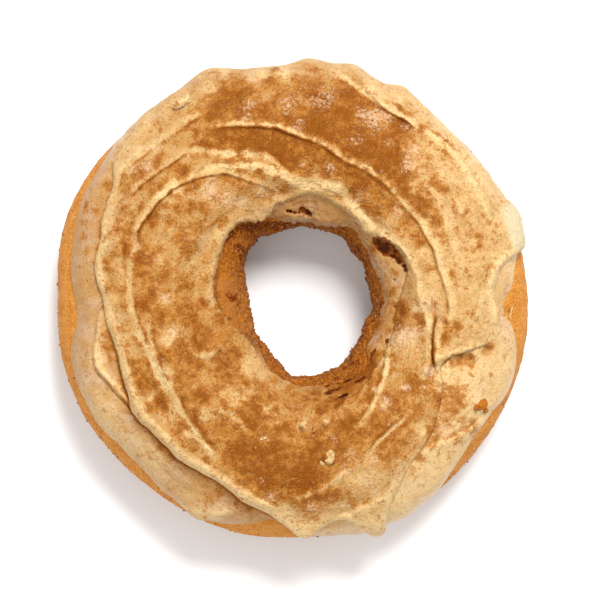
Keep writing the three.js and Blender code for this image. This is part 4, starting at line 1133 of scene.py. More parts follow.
@dataclass(frozen=True)
class Dusting:
    """Where the cinnamon, the sugar and the bare marks lie, with some painted shade and painted light among
    the patches.
    """

    coarse: Lattice = Lattice(21)
    fine: Lattice = Lattice(22)
    cracks: tuple[Stroke, ...] = tuple(Stroke(path, 0.0, 0.0, groove=1.0, fade=3.0) for path in CRACKS)
    side: tuple[float, float] = (21.0, 14.0)  # heights between which the dusting thins out and drifts

    @staticmethod
    def patches(table: tuple[tuple[float, float, float, float], ...], points: Array) -> Array:
        """Join soft round patches.

        Args:
            table: X, y, size and strength of each patch.
            points: Places, with x, y and z on the last axis.

        Returns:
            The cover at each point, from 0 to about 1.
        """
        bare = np.ones(points.shape[:-1])
        for x, y, size, strength in table:
            square = ((points[..., 0] - x) ** 2 + (points[..., 1] - y) ** 2) / size**2
            bare *= 1.0 - np.clip(strength * np.exp(-square), 0.0, 0.97)
        return 1.0 - bare

    def cinnamon(self, points: Array, light: float = 1.0) -> Array:
        """Cover of cinnamon, with the painted shade that some of its patches give.

        Args:
            points: Places, with x, y and z on the last axis.
            light: Share of the broad light dustings that lies there.

        Returns:
            The cover at each point, from 0 to 1.
        """
        side = smoothstep(points[..., 2], *self.side)
        drift = 2.6 * side * self.coarse.cloud(points, 2.4, 2)
        points = points + drift[..., None] * np.array((1.0, -0.7, 0.0))
        light = light * (1.0 - 0.5 * side)
        haze = light * (self.patches(HAZE, points) + 0.16 * self.coarse.cloud(points, 4.0, 2))
        cover = self.patches(CINNAMON_AND_SHADE, points) * (0.75 - 0.35 * side)
        return 1.0 - (1.0 - np.clip(haze, 0.0, 1.0)) * (1.0 - cover)

    def sugar(self, points: Array) -> Array:
        """Cover of sugar at each point, from 0 to 1."""
        return np.maximum(0.0, self.patches(SUGAR, points) + 0.12 * self.fine.cloud(points, 2.5, 2) - 0.06)

    def pale(self, points: Array) -> Array:
        """How clean and pale the icing is at each point, with painted light on some shaded flanks, from 0 to
        1.
        """
        return self.patches(PALE_AND_LIT, points)

    def bare(self, points: Array) -> Array:
        """How much dark dough shows.

        Args:
            points: Places, with x, y and z on the last axis.

        Returns:
            The share at each point, from 0 to 1.
        """
        cover = self.patches(BARE, points)
        bearing = np.degrees(np.arctan2(points[..., 1], points[..., 0]))
        radius = np.hypot(points[..., 0], points[..., 1])
        ragged = self.fine.cloud(points, 0.9, 2)
        for crack in self.cracks:
            strength = np.clip(0.9 + 0.8 * self.coarse.cloud(points, 1.6, 2), 0.0, 1.0)
            cover = np.maximum(cover, 0.95 * crack.crack(bearing, radius) * strength)
        return np.where(cover > 0.04, smoothstep(cover + 0.3 * ragged, 0.2, 0.8), 0.0)


# Node trees


def add_node(
    tree: bpy.types.NodeTree, kind: str, settings: dict[str, object], inputs: dict[object, object]
) -> bpy.types.Node:
    """Add a node to a shader tree or a geometry tree.

    Args:
        tree: The tree.
        kind: The node's type.
        settings: Its properties, which are set first.
        inputs: Values of its sockets, or sockets to link to them, by name or number.

    Returns:
        The node.
    """
    node = tree.nodes.new(kind)
    for key, value in settings.items():
        setattr(node, key, value)
    for key, value in inputs.items():
        put(tree, node.inputs[key], value)
    return node


def put(tree: bpy.types.NodeTree, socket: bpy.types.NodeSocket, value: object) -> None:
    """Link a socket to another, or set its value."""
    if isinstance(value, bpy.types.NodeSocket):
        tree.links.new(value, socket)
    else:
        socket.default_value = value


class Sock:
    """A shader socket that takes part in Python arithmetic."""

    def __init__(self, tree: "Tree", socket: bpy.types.NodeSocket) -> None:
        """Keep the socket and its tree."""
        self.tree = tree
        self.socket = socket

    def _math(self, operation: str, *values: object) -> "Sock":
        """Add a Math node for an operation."""
        return self.tree.add("ShaderNodeMath", {"operation": operation}, dict(enumerate(values)))

    def __add__(self, other: object) -> "Sock":
        """Add."""
        return self._math("ADD", self, other)

    __radd__ = __add__

    def __mul__(self, other: object) -> "Sock":
        """Multiply."""
        return self._math("MULTIPLY", self, other)

    __rmul__ = __mul__

    def __sub__(self, other: object) -> "Sock":
        """Subtract."""
        return self._math("SUBTRACT", self, other)

    def __rsub__(self, other: object) -> "Sock":
        """Subtract from a number."""
        return self._math("SUBTRACT", other, self)

    def step(self, low: float, high: float) -> "Sock":
        """Rise smoothly from 0 to 1 between two values."""
        inputs = {"Value": self, "From Min": low, "From Max": high}
        return self.tree.add("ShaderNodeMapRange", {"interpolation_type": "SMOOTHSTEP"}, inputs, "Result")


class Tree:
    """A material's node tree."""

    def __init__(self, name: str) -> None:
        """Start a material that ends in a Principled BSDF."""
        self.material = bpy.data.materials.new(name)
        self.material.use_nodes = True
        self.tree = self.material.node_tree
        self.shader = self.tree.nodes["Principled BSDF"]

    @staticmethod
    def plain(value: object) -> object:
        """The socket itself where a value is a Sock, or else the value."""
        return value.socket if isinstance(value, Sock) else value

    def add(
        self, kind: str, settings: dict[str, object], inputs: dict[object, object], output: object = 0
    ) -> Sock:
        """Add a node.

        Args:
            kind: The node's type.
            settings: Its properties, which are set first.
            inputs: Values or links of its sockets, by name or number.
            output: Name or number of the socket to return.

        Returns:
            The node's output.
        """
        node = add_node(self.tree, kind, settings, {key: self.plain(value) for key, value in inputs.items()})
        return Sock(self, node.outputs[output])

    def value(self, name: str) -> Sock:
        """Read a number that the mesh carries for each point."""
        return self.add("ShaderNodeAttribute", {"attribute_name": name}, {}, "Fac")

    def place(self) -> Sock:
        """Object coordinates in millimetres."""
        here = self.add("ShaderNodeTexCoord", {}, {}, "Object")
        return self.add("ShaderNodeVectorMath", {"operation": "SCALE"}, {0: here, "Scale": 1.0 / METRES})

    def noise(self, place: Sock, size: float, detail: float = 2.0, roughness: float = 0.5) -> Sock:
        """Noise from about 0 to 1.

        Args:
            place: Where to read it, in millimetres.
            size: Length over which it changes, in millimetres.
            detail: Number of finer layers.
            roughness: Strength of the finer layers.

        Returns:
            The noise.
        """
        inputs = {"Vector": place, "Scale": 1.0 / size, "Detail": detail, "Roughness": roughness}
        return self.add("ShaderNodeTexNoise", {}, inputs, "Fac")

    def mix(self, factor: object, low: object, high: object) -> Sock:
        """Mix two colours: low where the factor is 0, high where it is 1."""
        inputs = {0: factor, 6: low, 7: high}
        return self.add("ShaderNodeMix", {"data_type": "RGBA", "clamp_factor": True}, inputs, 2)

    def finish(self, inputs: dict[str, object], height: Sock, depth: float) -> bpy.types.Material:
        """Fill the shader's sockets.

        Args:
            inputs: Values or links by socket name.
            height: Fine relief, as a height from 0 to 1.
            depth: Depth of that relief, in millimetres.

        Returns:
            The material.
        """
        for key, value in inputs.items():
            put(self.tree, self.shader.inputs[key], self.plain(value))
        relief = {"Height": height, "Strength": 1.0, "Distance": depth * METRES}
        bump = self.add("ShaderNodeBump", {}, relief, "Normal")
        put(self.tree, self.shader.inputs["Normal"], bump.socket)
        return self.material


Colour = tuple[float, float, float, float]


@dataclass(frozen=True)
class IcingFinish:
    """Icing from thin and grey to thick and creamy, with cinnamon and sugar on it.

    Attributes:
        name: Name of the material.
        thin: Thin film over the dough.
        rosy: The greyer places of the film.
        flat: Thick icing between the crests.
        yellow: The yellower places of it.
        cream: Clean crests.
        milky: Broad milky clouds.
        blob: The pale blob at the right.
        stain: Icing that the cinnamon has stained.
        cinnamon: Dense cinnamon.
        dark_cinnamon: Single dark specks.
        sugar: Frosty sugar.
        brown: Rim of a bare mark.
        bare: Middle of a bare mark.
        roughness: Roughness where there is no dust.
        subsurface: Share of the light that goes through.
        relief: Depth of the finest relief, in millimetres.
        mottling: How much the dusting varies from place to place.
        milkiness: How strong the milky clouds are.
    """

    name: str = "icing_finish"
    thin: Colour = (0.330, 0.168, 0.054, 1.0)
    rosy: Colour = (0.345, 0.212, 0.120, 1.0)
    flat: Colour = (0.338, 0.170, 0.047, 1.0)
    yellow: Colour = (0.420, 0.256, 0.094, 1.0)
    cream: Colour = (0.548, 0.388, 0.185, 1.0)
    milky: Colour = (0.430, 0.280, 0.162, 1.0)
    blob: Colour = (0.46, 0.385, 0.230, 1.0)
    stain: Colour = (0.325, 0.124, 0.0180, 1.0)
    cinnamon: Colour = (0.180, 0.047, 0.0025, 1.0)
    dark_cinnamon: Colour = (0.120, 0.032, 0.0025, 1.0)
    sugar: Colour = (0.53, 0.352, 0.208, 1.0)
    brown: Colour = (0.210, 0.056, 0.0070, 1.0)
    bare: Colour = (0.055, 0.0070, 0.0010, 1.0)
    roughness: float = 0.5
    subsurface: float = 0.03
    relief: float = 0.42
    mottling: float = 1.0
    milkiness: float = 0.35

    def build(self) -> bpy.types.Material:
        """Build the material.

        Returns:
            The material, which reads the numbers that the mesh carries.
        """
        tree = Tree(self.name)
        place = tree.place()
        dust_and_shade, sugar, crest = tree.value("dust_and_shade"), tree.value("sugar"), tree.value("crest")
        thin, bare, blob = tree.value("thin"), tree.value("bare"), tree.value("blob")
        broad = tree.noise(place, 5.0, 2.0, 0.5)
        mottle = tree.noise(place, 2.6, 3.0, 0.6)
        cloud = tree.noise(place, 1.3, 2.0, 0.5)
        grit = tree.noise(place, 0.5, 2.0, 0.6)
        speck = tree.noise(place, 0.34, 1.0, 0.5)
        pale = tree.noise(place, 0.7, 2.0, 0.6)
        base = tree.mix((mottle - 0.5) * 3.0 + (pale - 0.5) * 1.5 + 0.5, self.flat, self.yellow)
        base = tree.mix(((broad - 0.5) * 6.0 + (cloud - 0.5) * 2.0) * self.milkiness, base, self.milky)
        patchy = (broad - 0.5) * 4.0 + (mottle - 0.5) * 3.0 + (cloud - 0.5) * 1.6 + 0.5
        film = tree.mix(patchy, self.thin, self.rosy)
        base = tree.mix(thin + thin * (cloud - 0.5) * 2.0, base, film)
        ragged = (pale - 0.5) * 1.4 + (mottle - 0.5) * 2.4
        # Crests take the cream colour: clean icing, with a painted highlight.
        base = tree.mix(crest + crest * ragged, base, self.cream)
        base = tree.mix(blob, base, self.blob)
        uneven = (mottle - 0.5) * 1.6 + (cloud - 0.5) * 2.4 + (grit - 0.5) * 1.8 + (speck - 0.5) * 0.6
        # The value read here is cinnamon cover and also painted shade in creases, pits, hollows and beside
        # the swirl's edges; the stain and cinnamon colours paint both.
        level = dust_and_shade + uneven * self.mottling * (0.72 - dust_and_shade * 0.16) - blob * 2.0 - 0.04
        base = tree.mix(level.step(-0.05, 0.65) * 0.88, base, self.stain)
        base = tree.mix(level.step(0.28, 1.25) * 0.92, base, self.cinnamon)
        dots = (speck + dust_and_shade * 0.04 - crest * 0.03).step(0.62, 0.72)
        base = tree.mix(dots * 0.65, base, self.dark_cinnamon)
        haze = sugar + (pale - 0.5) * 2.0 + (grit - 0.5) * 2.0 + (cloud - 0.5) * 0.8 + 0.06 - dust_and_shade * 0.22
        base = tree.mix(haze.step(0.16, 1.10) * 0.75, base, self.sugar)
        base = tree.mix((bare + bare * (grit - 0.5) * 2.0).step(0.0, 0.6), base, self.brown)
        base = tree.mix((bare + bare * (cloud - 0.5) * 2.0).step(0.62, 1.1), base, self.bare)
        rough = self.roughness + dust_and_shade * 0.25 - crest * 0.08
        height = grit * (0.4 + dust_and_shade * 0.6) + cloud * 0.8 + speck * 0.3
        inputs = {
            "Base Color": base, "Roughness": rough, "Subsurface Weight": self.subsurface,
            "Subsurface Radius": (1.0, 0.6, 0.35), "Subsurface Scale": 0.0010,
            "Specular IOR Level": 0.15, "Specular Tint": (1.0, 0.75, 0.42, 1.0),
        }
        return tree.finish(inputs, height, self.relief)


@dataclass(frozen=True)
class CrustFinish:
    """Baked dough, golden outside and darker in the hole.

    Attributes:
        name: Name of the material.
        golden: The plain crust.
        pale: Its paler places.
        brown: The well-baked hole, partly painted shade, and specks.
        dark: Burnt marks, and painted shade in the clefts of the hole.
        tan: Places that the dusting covers.
        roughness: Least roughness.
    """

    name: str = "crust_finish"
    golden: Colour = (0.46, 0.160, 0.019, 1.0)
    pale: Colour = (0.63, 0.285, 0.056, 1.0)
    brown: Colour = (0.225, 0.057, 0.0045, 1.0)
    dark: Colour = (0.11, 0.016, 0.001, 1.0)
    tan: Colour = (0.37, 0.135, 0.028, 1.0)
    roughness: float = 0.6

    def build(self) -> bpy.types.Material:
        """Build the material.

        Returns:
            The material, which reads the numbers that the mesh carries.
        """
        tree = Tree(self.name)
        place = tree.place()
        baked, char_and_shade, dusty = tree.value("baked"), tree.value("char_and_shade"), tree.value("dusty")
        mottle = tree.noise(place, 3.2, 4.0, 0.6)
        fine = tree.noise(place, 0.5, 3.0, 0.65)
        speck = tree.noise(place, 0.30, 1.0, 0.5)
        grain = (fine - 0.5) * 4.0
        base = tree.mix((mottle - 0.5) * 3.0 + grain * 0.9 + 0.45, self.golden, self.pale)
        base = tree.mix(baked + baked * grain * 1.6 + (mottle - 0.5) * 1.0, base, self.brown)
        powder = (dusty * 0.8 + (mottle - 0.5) * 3.0 + grain * 0.6).step(0.20, 0.90) * dusty
        base = tree.mix(powder, base, self.tan)
        burnt = (char_and_shade + char_and_shade * grain + (mottle - 0.5) * 1.2).step(0.25, 0.95) * 0.92
        base = tree.mix(burnt, base, self.dark)
        base = tree.mix(speck.step(0.56, 0.66) * 0.5, base, self.brown)
        inputs = {
            "Base Color": base, "Roughness": self.roughness + fine * 0.2,
            "Specular IOR Level": 0.12, "Specular Tint": (1.0, 0.62, 0.28, 1.0),
        }
        return tree.finish(inputs, fine * 0.9 + mottle * 0.4, 0.6)


@dataclass(frozen=True)
class GrainFinish:
    """Small grains, whose colour varies from place to place.

    Attributes:
        name: Name of the material.
        low: The darkest grains.
        high: The palest grains.
        roughness: Roughness of all.
    """

    name: str
    low: Colour
    high: Colour
    roughness: float

    def build(self) -> bpy.types.Material:
        """Build the material.

        Returns:
            The material, which reads the numbers that the mesh carries.
        """
        tree = Tree(self.name)
        place = tree.place()
        tone = tree.noise(place, 0.6, 1.0)
        colour = tree.mix(tone.step(0.35, 0.65), self.low, self.high)
        inputs = {"Base Color": colour, "Roughness": self.roughness}
        return tree.finish(inputs, tree.noise(place, 0.12, 1.0), 0.03)


# The pieces


def dress(piece: bpy.types.Object, material: bpy.types.Material) -> None:
    """Give a piece its material and the body that it rides on."""
    piece.data.materials.clear()
    piece.data.materials.append(material)
    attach(piece, "root")
    piece.data.calc_loop_triangles()
    LOG.info("%s: %d triangles", piece.name, len(piece.data.loop_triangles))


@dataclass
class Dough:
    """The ring of dough, with its craggy hole.

    Attributes:
        ring: Its form.
        dusting: Where powder and burnt marks lie.
        bearings: Points round the ring.
        outer_rows: Rows of points on the outer side.
        hidden_rows: Rows under the icing.
        hole_rows: Rows in the hole.
        base_rows: Rows on the base.
        crags: Noise of the relief.
    """

    ring: Ring
    dusting: Dusting
    bearings: int = 600
    outer_rows: int = 40
    hidden_rows: int = 14
    hole_rows: int = 90
    base_rows: int = 14
    crags: Lattice = Lattice(31)

    def points(self) -> tuple[Array, dict[str, Array]]:
        """Work out the surface.

        Returns:
            The points, and the values that the finish reads.
        """
        stretches = (
            (-80.0, 35.0, self.outer_rows), (35.0, 105.0, self.hidden_rows), (105.0, 235.0, self.hole_rows),
            (235.0, 280.0, self.base_rows),
        )
        rows = np.concatenate([np.linspace(*stretch, endpoint=False) for stretch in stretches])
        bearing = rows_of(np.arange(self.bearings) * 360.0 / self.bearings, len(rows))
        turn = np.repeat(rows[None, :] % 360.0, self.bearings, axis=0)
        radius, height = self.ring.at(bearing, turn)
        points = on_bearing(bearing, radius, height)
        in_hole = smoothstep(turn, 140.0, 162.0) * smoothstep(turn, 262.0, 225.0)
        clefts = np.abs(self.crags.cloud(points + 5.0, 1.5, 3))
        rough = 0.50 * self.crags.cloud(points, 3.0, 4) - 0.50 * clefts
        rough = rough + 0.22 * self.crags.cloud(points + 11.0, 0.7, 2)
        outside = 0.10 * self.crags.cloud(points, 9.0, 3) + 0.13 * self.crags.cloud(points, 1.3, 3)
        base = smoothstep(height, 0.0, 1.2)
        push = in_hole * (rough + 0.15) + outside * (1.0 - in_hole) * base
        out, up, size = self.ring.facing(bearing, turn)
        points = on_bearing(bearing, radius + push * out / size, np.maximum(0.0, height + push * up / size))
        uncovered = np.maximum(smoothstep(turn, 110.0, 130.0), turn < 60.0)
        burnt = self.dusting.patches(BURNT, points) * uncovered
        # Burnt marks, and painted shade in the clefts of the hole's wall.
        char_and_shade = np.maximum(in_hole * smoothstep(-rough, 0.0, 0.8) * 0.8, 1.1 * burnt)
        inside = smoothstep(turn, 105.0, 135.0) * smoothstep(turn, 262.0, 225.0)
        # The crust in the hole is darkened, partly as painted shade, and a little darker towards the base.
        baked = np.maximum(inside * 0.7, smoothstep(height, 9.0, 1.0) * 0.08)
        left = towards(bearing, 193.0, 0.66, 0.93)
        dusty = left * smoothstep(turn, 215.0, 150.0) * smoothstep(turn, 90.0, 110.0)
        outer = smoothstep(turn, 30.0, 10.0) + smoothstep(turn, 335.0, 350.0)
        crumbs = in_hole * smoothstep(turn, 215.0, 195.0) * (1.0 + left) + 0.15 * outer
        return points, {"baked": baked, "char_and_shade": char_and_shade, "crumbs": crumbs, "dusty": dusty}

    def build(self) -> bpy.types.Object:
        """Build and dress the dough."""
        points, values = self.points()
        piece = ring_object("dough_crust", points, values)
        dress(piece, CrustFinish().build())
        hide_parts("dough")
        return piece


@dataclass
class Coat:
    """The thin first coat, which shows outside the swirl and round the hole.

    Attributes:
        icing: The icing's form.
        dusting: Where powder and bare marks lie.
        bearings: Points round the ring.
        outer_rows: Rows of points outside the swirl.
        hidden_rows: Rows under the swirl.
        hole_rows: Rows round the hole.
        under_rows: Rows of the underside.
        beyond: How far past the dough's outline it may reach.
        overlap: How far the finer rows go on under the swirl's edges.
        under: Distance of the underside over the dough; it lies in the dough.
    """

    icing: Icing
    dusting: Dusting
    bearings: int = 720
    outer_rows: int = 54
    hidden_rows: int = 10
    hole_rows: int = 46
    under_rows: int = 14
    beyond: float = 0.9
    overlap: float = 1.5
    under: float = -0.3

    def points(self) -> tuple[Array, dict[str, Array]]:
        """Work out the surface.

        Returns:
            The points, and the values that the finish reads.
        """
        ring = self.icing.ring
        around = np.arange(self.bearings) * 360.0 / self.bearings
        reach = np.minimum(self.icing.reach(around), ring.outline(around) + self.beyond)
        start = self.icing.outer_turn(around, reach, np.full_like(around, 0.3))
        end = ring.turn_at(around, self.icing.coat_hole(around))
        lip = np.clip(ring.turn_at(around, SWIRL_LIP(around) - self.overlap), start + 8.0, end - 40.0)
        inner = np.clip(ring.turn_at(around, SWIRL_HOLE(around) + self.overlap), lip + 10.0, end - 4.0)
        parts = (
            lerp(start[:, None], lip[:, None], np.linspace(0, 1, self.outer_rows, endpoint=False)),
            lerp(lip[:, None], inner[:, None], np.linspace(0, 1, self.hidden_rows, endpoint=False)),
            lerp(inner[:, None], end[:, None], np.linspace(0, 1, self.hole_rows)),
        )
        turn = np.concatenate(parts, axis=1)
        bearing = rows_of(around, turn.shape[1])
        thickness = self.icing.coat_thickness(bearing, turn, start[:, None], end[:, None])
        top_r, top_z = ring.above(bearing, turn, thickness)
        top = on_bearing(bearing, top_r, top_z)
        bare = self.dusting.bare(top)
        top_r, top_z = ring.above(bearing, turn, thickness * (1.0 - 0.8 * bare))
        top = on_bearing(bearing, top_r, top_z)
        back = lerp(end[:, None], start[:, None], np.linspace(0, 1, self.under_rows))
        around_back = rows_of(around, self.under_rows)
        under = on_bearing(around_back, *ring.above(around_back, back, np.full_like(back, self.under)))
        points = np.concatenate([top, under], axis=1)
        radius = np.hypot(top[..., 0], top[..., 1])
        dust_and_shade = self.dusting.cinnamon(top, 0.35) * 0.9
        beyond = radius - self.icing.lip(bearing)
        step = LIP_STEP(bearing)
        # Painted shade: a dark line on the coat at the foot of the swirl's outer edge, where that edge is
        # tall.
        dust_and_shade = dust_and_shade + 0.8 * smoothstep(step, 1.0, 2.2) * bell(beyond - 0.1, 0.45)
        # Cinnamon and painted shade in the dark lines at the foot of the coat's creases.
        dust_and_shade = dust_and_shade + 0.6 * sum(stroke.crack(bearing, radius) for stroke in COAT_STROKES)
        # Painted shadow that the swirl's tall outer edge casts on the coat beside it: in the lines below it
        # darkens the coat, takes paleness away and greys it.
        shade = smoothstep(step, 1.6, 2.5) * bell(np.maximum(beyond, 0.0), 2.4) * (beyond > -1.0)
        # The last term on the next line paints the warm light that the brown crust throws on the coat inside
        # the hole.
        dust_and_shade = dust_and_shade + 0.22 * shade + 0.24 * smoothstep(radius, 22.0, 19.5)
        brown = towards(bearing, 309.0, 0.93, 0.98) * smoothstep(radius, 23.0, 21.0)
        dust_and_shade = dust_and_shade + 0.5 * brown
        pits = sum(lump.shape(top) for lump in COAT_LUMPS if lump.height < 0)
        left_wall = smoothstep(radius, 18.0, 15.5) * towards(bearing, 170.0, 0.1, 0.6)
        # The pits under the fold are darkened and lose paleness as painted shade, here and in the crest
        # value below.
        dust_and_shade = np.maximum(dust_and_shade + 0.4 * pits, left_wall)
        crest = sum(stroke.crest(bearing, radius) for stroke in COAT_STROKES)
        outside = radius > 30.0
        whiteness = COAT_PALE(bearing)
        pale = 0.15 * smoothstep(thickness, 0.9, 1.5) + 0.75 * smoothstep(whiteness, 0.6, 1.0) * outside
        edge = np.minimum(turn - start[:, None], end[:, None] - turn)
        values = {
            "dust_and_shade": dust_and_shade,
            "sugar": self.dusting.sugar(top) * 0.9,
            "crest": np.clip(pale + 0.8 * crest + self.dusting.pale(top) - pits - 0.6 * shade, 0.0, 1.0),
            "thin": 1.0 - 0.75 * whiteness + 0.3 * smoothstep(edge, 9.0, 0.0) + 0.5 * shade,
            "bare": bare,
            "blob": np.zeros_like(radius),
        }
        pad = ((0, 0), (0, self.under_rows))
        return points, {key: np.pad(value, pad, mode="edge") for key, value in values.items()}

    def build(self) -> bpy.types.Object:
        """Build and dress the coat."""
        points, values = self.points()
        piece = ring_object("icing_first_coat", points, values)
        finish = IcingFinish(
            name="first_coat_finish", flat=(0.400, 0.208, 0.066, 1.0), yellow=(0.505, 0.318, 0.128, 1.0),
            milky=(0.490, 0.335, 0.205, 1.0), roughness=0.38, relief=0.20, mottling=0.8, milkiness=0.9,
        )
        dress(piece, finish.build())
        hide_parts("icing")
        return piece


@dataclass
class Swirl:
    """The thick upper layer, with the knife's ridges and a lip round its edges.

    Attributes:
        icing: The icing's form.
        dusting: Where powder and bare marks lie.
        bearings: Points round the ring.
        nose_rows: Rows of points round each edge.
        crown_rows: Rows between the edges.
        under_rows: Rows of the underside.
        samples: Steps by which the rows' places are worked out.
        closeness: How much closer the rows are where a crest runs.
        foot: Distance over the dough of the foot of each edge.
        under: Distance over the dough of the underside.
    """

    icing: Icing
    dusting: Dusting
    bearings: int = 880
    nose_rows: int = 8
    crown_rows: int = 92
    under_rows: int = 5
    samples: int = 400
    closeness: float = 2.4
    foot: float = 0.35
    under: float = 0.2

    def nose(
        self, lip: Array, top: Array, base: Array, width: Array, outer: bool
    ) -> tuple[Array, Array]:
        """Round the layer's edge, so that it hangs a little over what is beside it.

        Args:
            lip: Turn of the edge at each bearing.
            top: Thickness of the icing behind the edge.
            base: Distance over the dough of the edge's foot.
            width: Depth of the rounding.
            outer: Whether it is the outer edge.

        Returns:
            Turn and distance over the dough, for each bearing and row.
        """
        angle = np.radians(np.linspace(-75.0, 75.0, self.nose_rows))
        inwards = 1.0 if outer else -1.0
        back = arc(width)[:, None] * (1.0 - np.cos(angle)) / (1.0 - math.cos(angle[0])) * inwards
        share = (1.0 + np.sin(angle) / math.sin(angle[-1])) / 2.0
        return lip[:, None] + back, lerp(base[:, None], top[:, None], share)

    def points(self) -> tuple[Array, dict[str, Array]]:
        """Work out the surface.

        Returns:
            The points, and the values that the finish reads.
        """
        ring = self.icing.ring
        around = np.arange(self.bearings) * 360.0 / self.bearings
        outer_width = 0.35 + 0.3 * LIP_STEP(around)
        hole_width = 0.3 + 0.3 * HOLE_STEP(around)
        edge = self.icing.lip(around)
        guess = ring.turn_at(around, edge)
        height = np.maximum(self.icing.thickness(around, guess), 0.5) * 0.6
        lip = self.icing.outer_turn(around, edge, height)
        end = ring.turn_at(around, self.icing.hole_lip(around))
        start = lip + arc(outer_width)
        stop = end - arc(hole_width)
        turn = self.rows_between(around, start, stop)
        bearing = rows_of(around, self.crown_rows)
        thickness = self.icing.thickness(bearing, turn)
        radius = ring.at(bearing, turn)[0]
        shift = sum(stroke.shift(bearing, radius) for stroke in STROKES)
        crown_turn = turn - arc(shift)
        foot = np.full_like(around, self.foot)
        out_turn, out_height = self.nose(lip, thickness[:, 0], foot, outer_width, True)
        in_turn, in_height = self.nose(end, thickness[:, -1], foot, hole_width, False)
        back = lerp(end[:, None], lip[:, None], np.linspace(0, 1, self.under_rows + 2)[1:-1])
        under = np.full_like(back, self.under)
        turns = np.concatenate([out_turn[:, :-1], crown_turn, in_turn[:, -2::-1], back], axis=1)
        heights = np.concatenate([out_height[:, :-1], thickness, in_height[:, -2::-1], under], axis=1)
        bearings = rows_of(around, turns.shape[1])
        points = on_bearing(bearings, *ring.above(bearings, turns, heights))
        return points, self.values(points, bearings)

    def rows_between(self, around: Array, start: Array, stop: Array) -> Array:
        """Place the rows: closer where a crest runs.

        Args:
            around: Bearings in degrees.
            start: Turn of the first row at each bearing.
            stop: Turn of the last row.

        Returns:
            The turns, by bearing and row.
        """
        ring = self.icing.ring
        share = np.linspace(0.0, 1.0, self.samples)
        turn = lerp(start[:, None], stop[:, None], share)
        bearing = rows_of(around, self.samples)
        radius, height = ring.at(bearing, turn)
        length = np.hypot(np.diff(radius, axis=1), 0.6 * np.diff(height, axis=1))
        detail = sum(stroke.detail(bearing, radius) for stroke in STROKES)[:, 1:]
        drawn = np.cumsum(length * (1.0 + self.closeness * np.minimum(detail, 1.0)), axis=1)
        drawn = np.pad(drawn / drawn[:, -1:], ((0, 0), (1, 0)))
        rows = np.linspace(0.0, 1.0, self.crown_rows)
        return np.stack([np.interp(rows, line, at) for line, at in zip(drawn, turn)])

    def values(self, points: Array, bearing: Array) -> dict[str, Array]:
        """Work out what the finish reads.

        Args:
            points: The surface.
            bearing: The bearing of each point.

        Returns:
            Named numbers for each point.
        """
        radius = np.hypot(points[..., 0], points[..., 1])
        crest = sum(stroke.crest(bearing, radius) for stroke in STROKES)
        from_lip = self.icing.from_lip(bearing, radius)
        from_hole = self.icing.from_hole(bearing, radius)
        lip_band = bell(from_lip, 1.5)
        hole_band = bell(from_hole, 1.3) * smoothstep(HOLE_STEP(bearing), 0.3, 0.8)
        crest = crest + self.dusting.pale(points)
        crest = np.clip(crest + LIP_CLEAN(bearing) * lip_band + 0.4 * hole_band, 0.0, 1.0)
        crack = sum(stroke.crack(bearing, radius) for stroke in STROKES)
        low = self.icing.unevenness(points, bearing, radius)
        # Cinnamon cover plus painted shade: it rises in low places and in the dark line at each stroke's
        # foot, where cinnamon gathers and shade falls, and drops on crests, which carry a painted highlight.
        dust_and_shade = 1.25 * self.dusting.cinnamon(points) - 0.8 * low + 0.8 * crack - 0.9 * crest
        dust_and_shade = np.clip(dust_and_shade, 0.0, 1.4)
        blob = BLOB.shape(points)
        right = towards(bearing, 10.0, 0.3, 0.9) * smoothstep(radius, 24.0, 34.0)
        clean = LIP_CLEAN(bearing) * bell(from_lip, 3.6)
        return {
            "dust_and_shade": np.maximum(0.0, dust_and_shade - 1.2 * blob - 0.45 * clean),
            "sugar": self.dusting.sugar(points),
            "crest": crest * 0.85 + (0.26 * right + 0.25 * clean) * (1.0 - crest),
            "thin": 0.12 * (1.0 - crest) * (1.0 - right),
            "bare": self.dusting.bare(points) * 0.6,
            "blob": smoothstep(blob, 0.2, 0.6),
        }

    def build(self) -> bpy.types.Object:
        """Build and dress the swirl."""
        points, values = self.points()
        piece = ring_object("icing_swirl", points, values)
        dress(piece, IcingFinish().build())
        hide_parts("icing")
        return piece


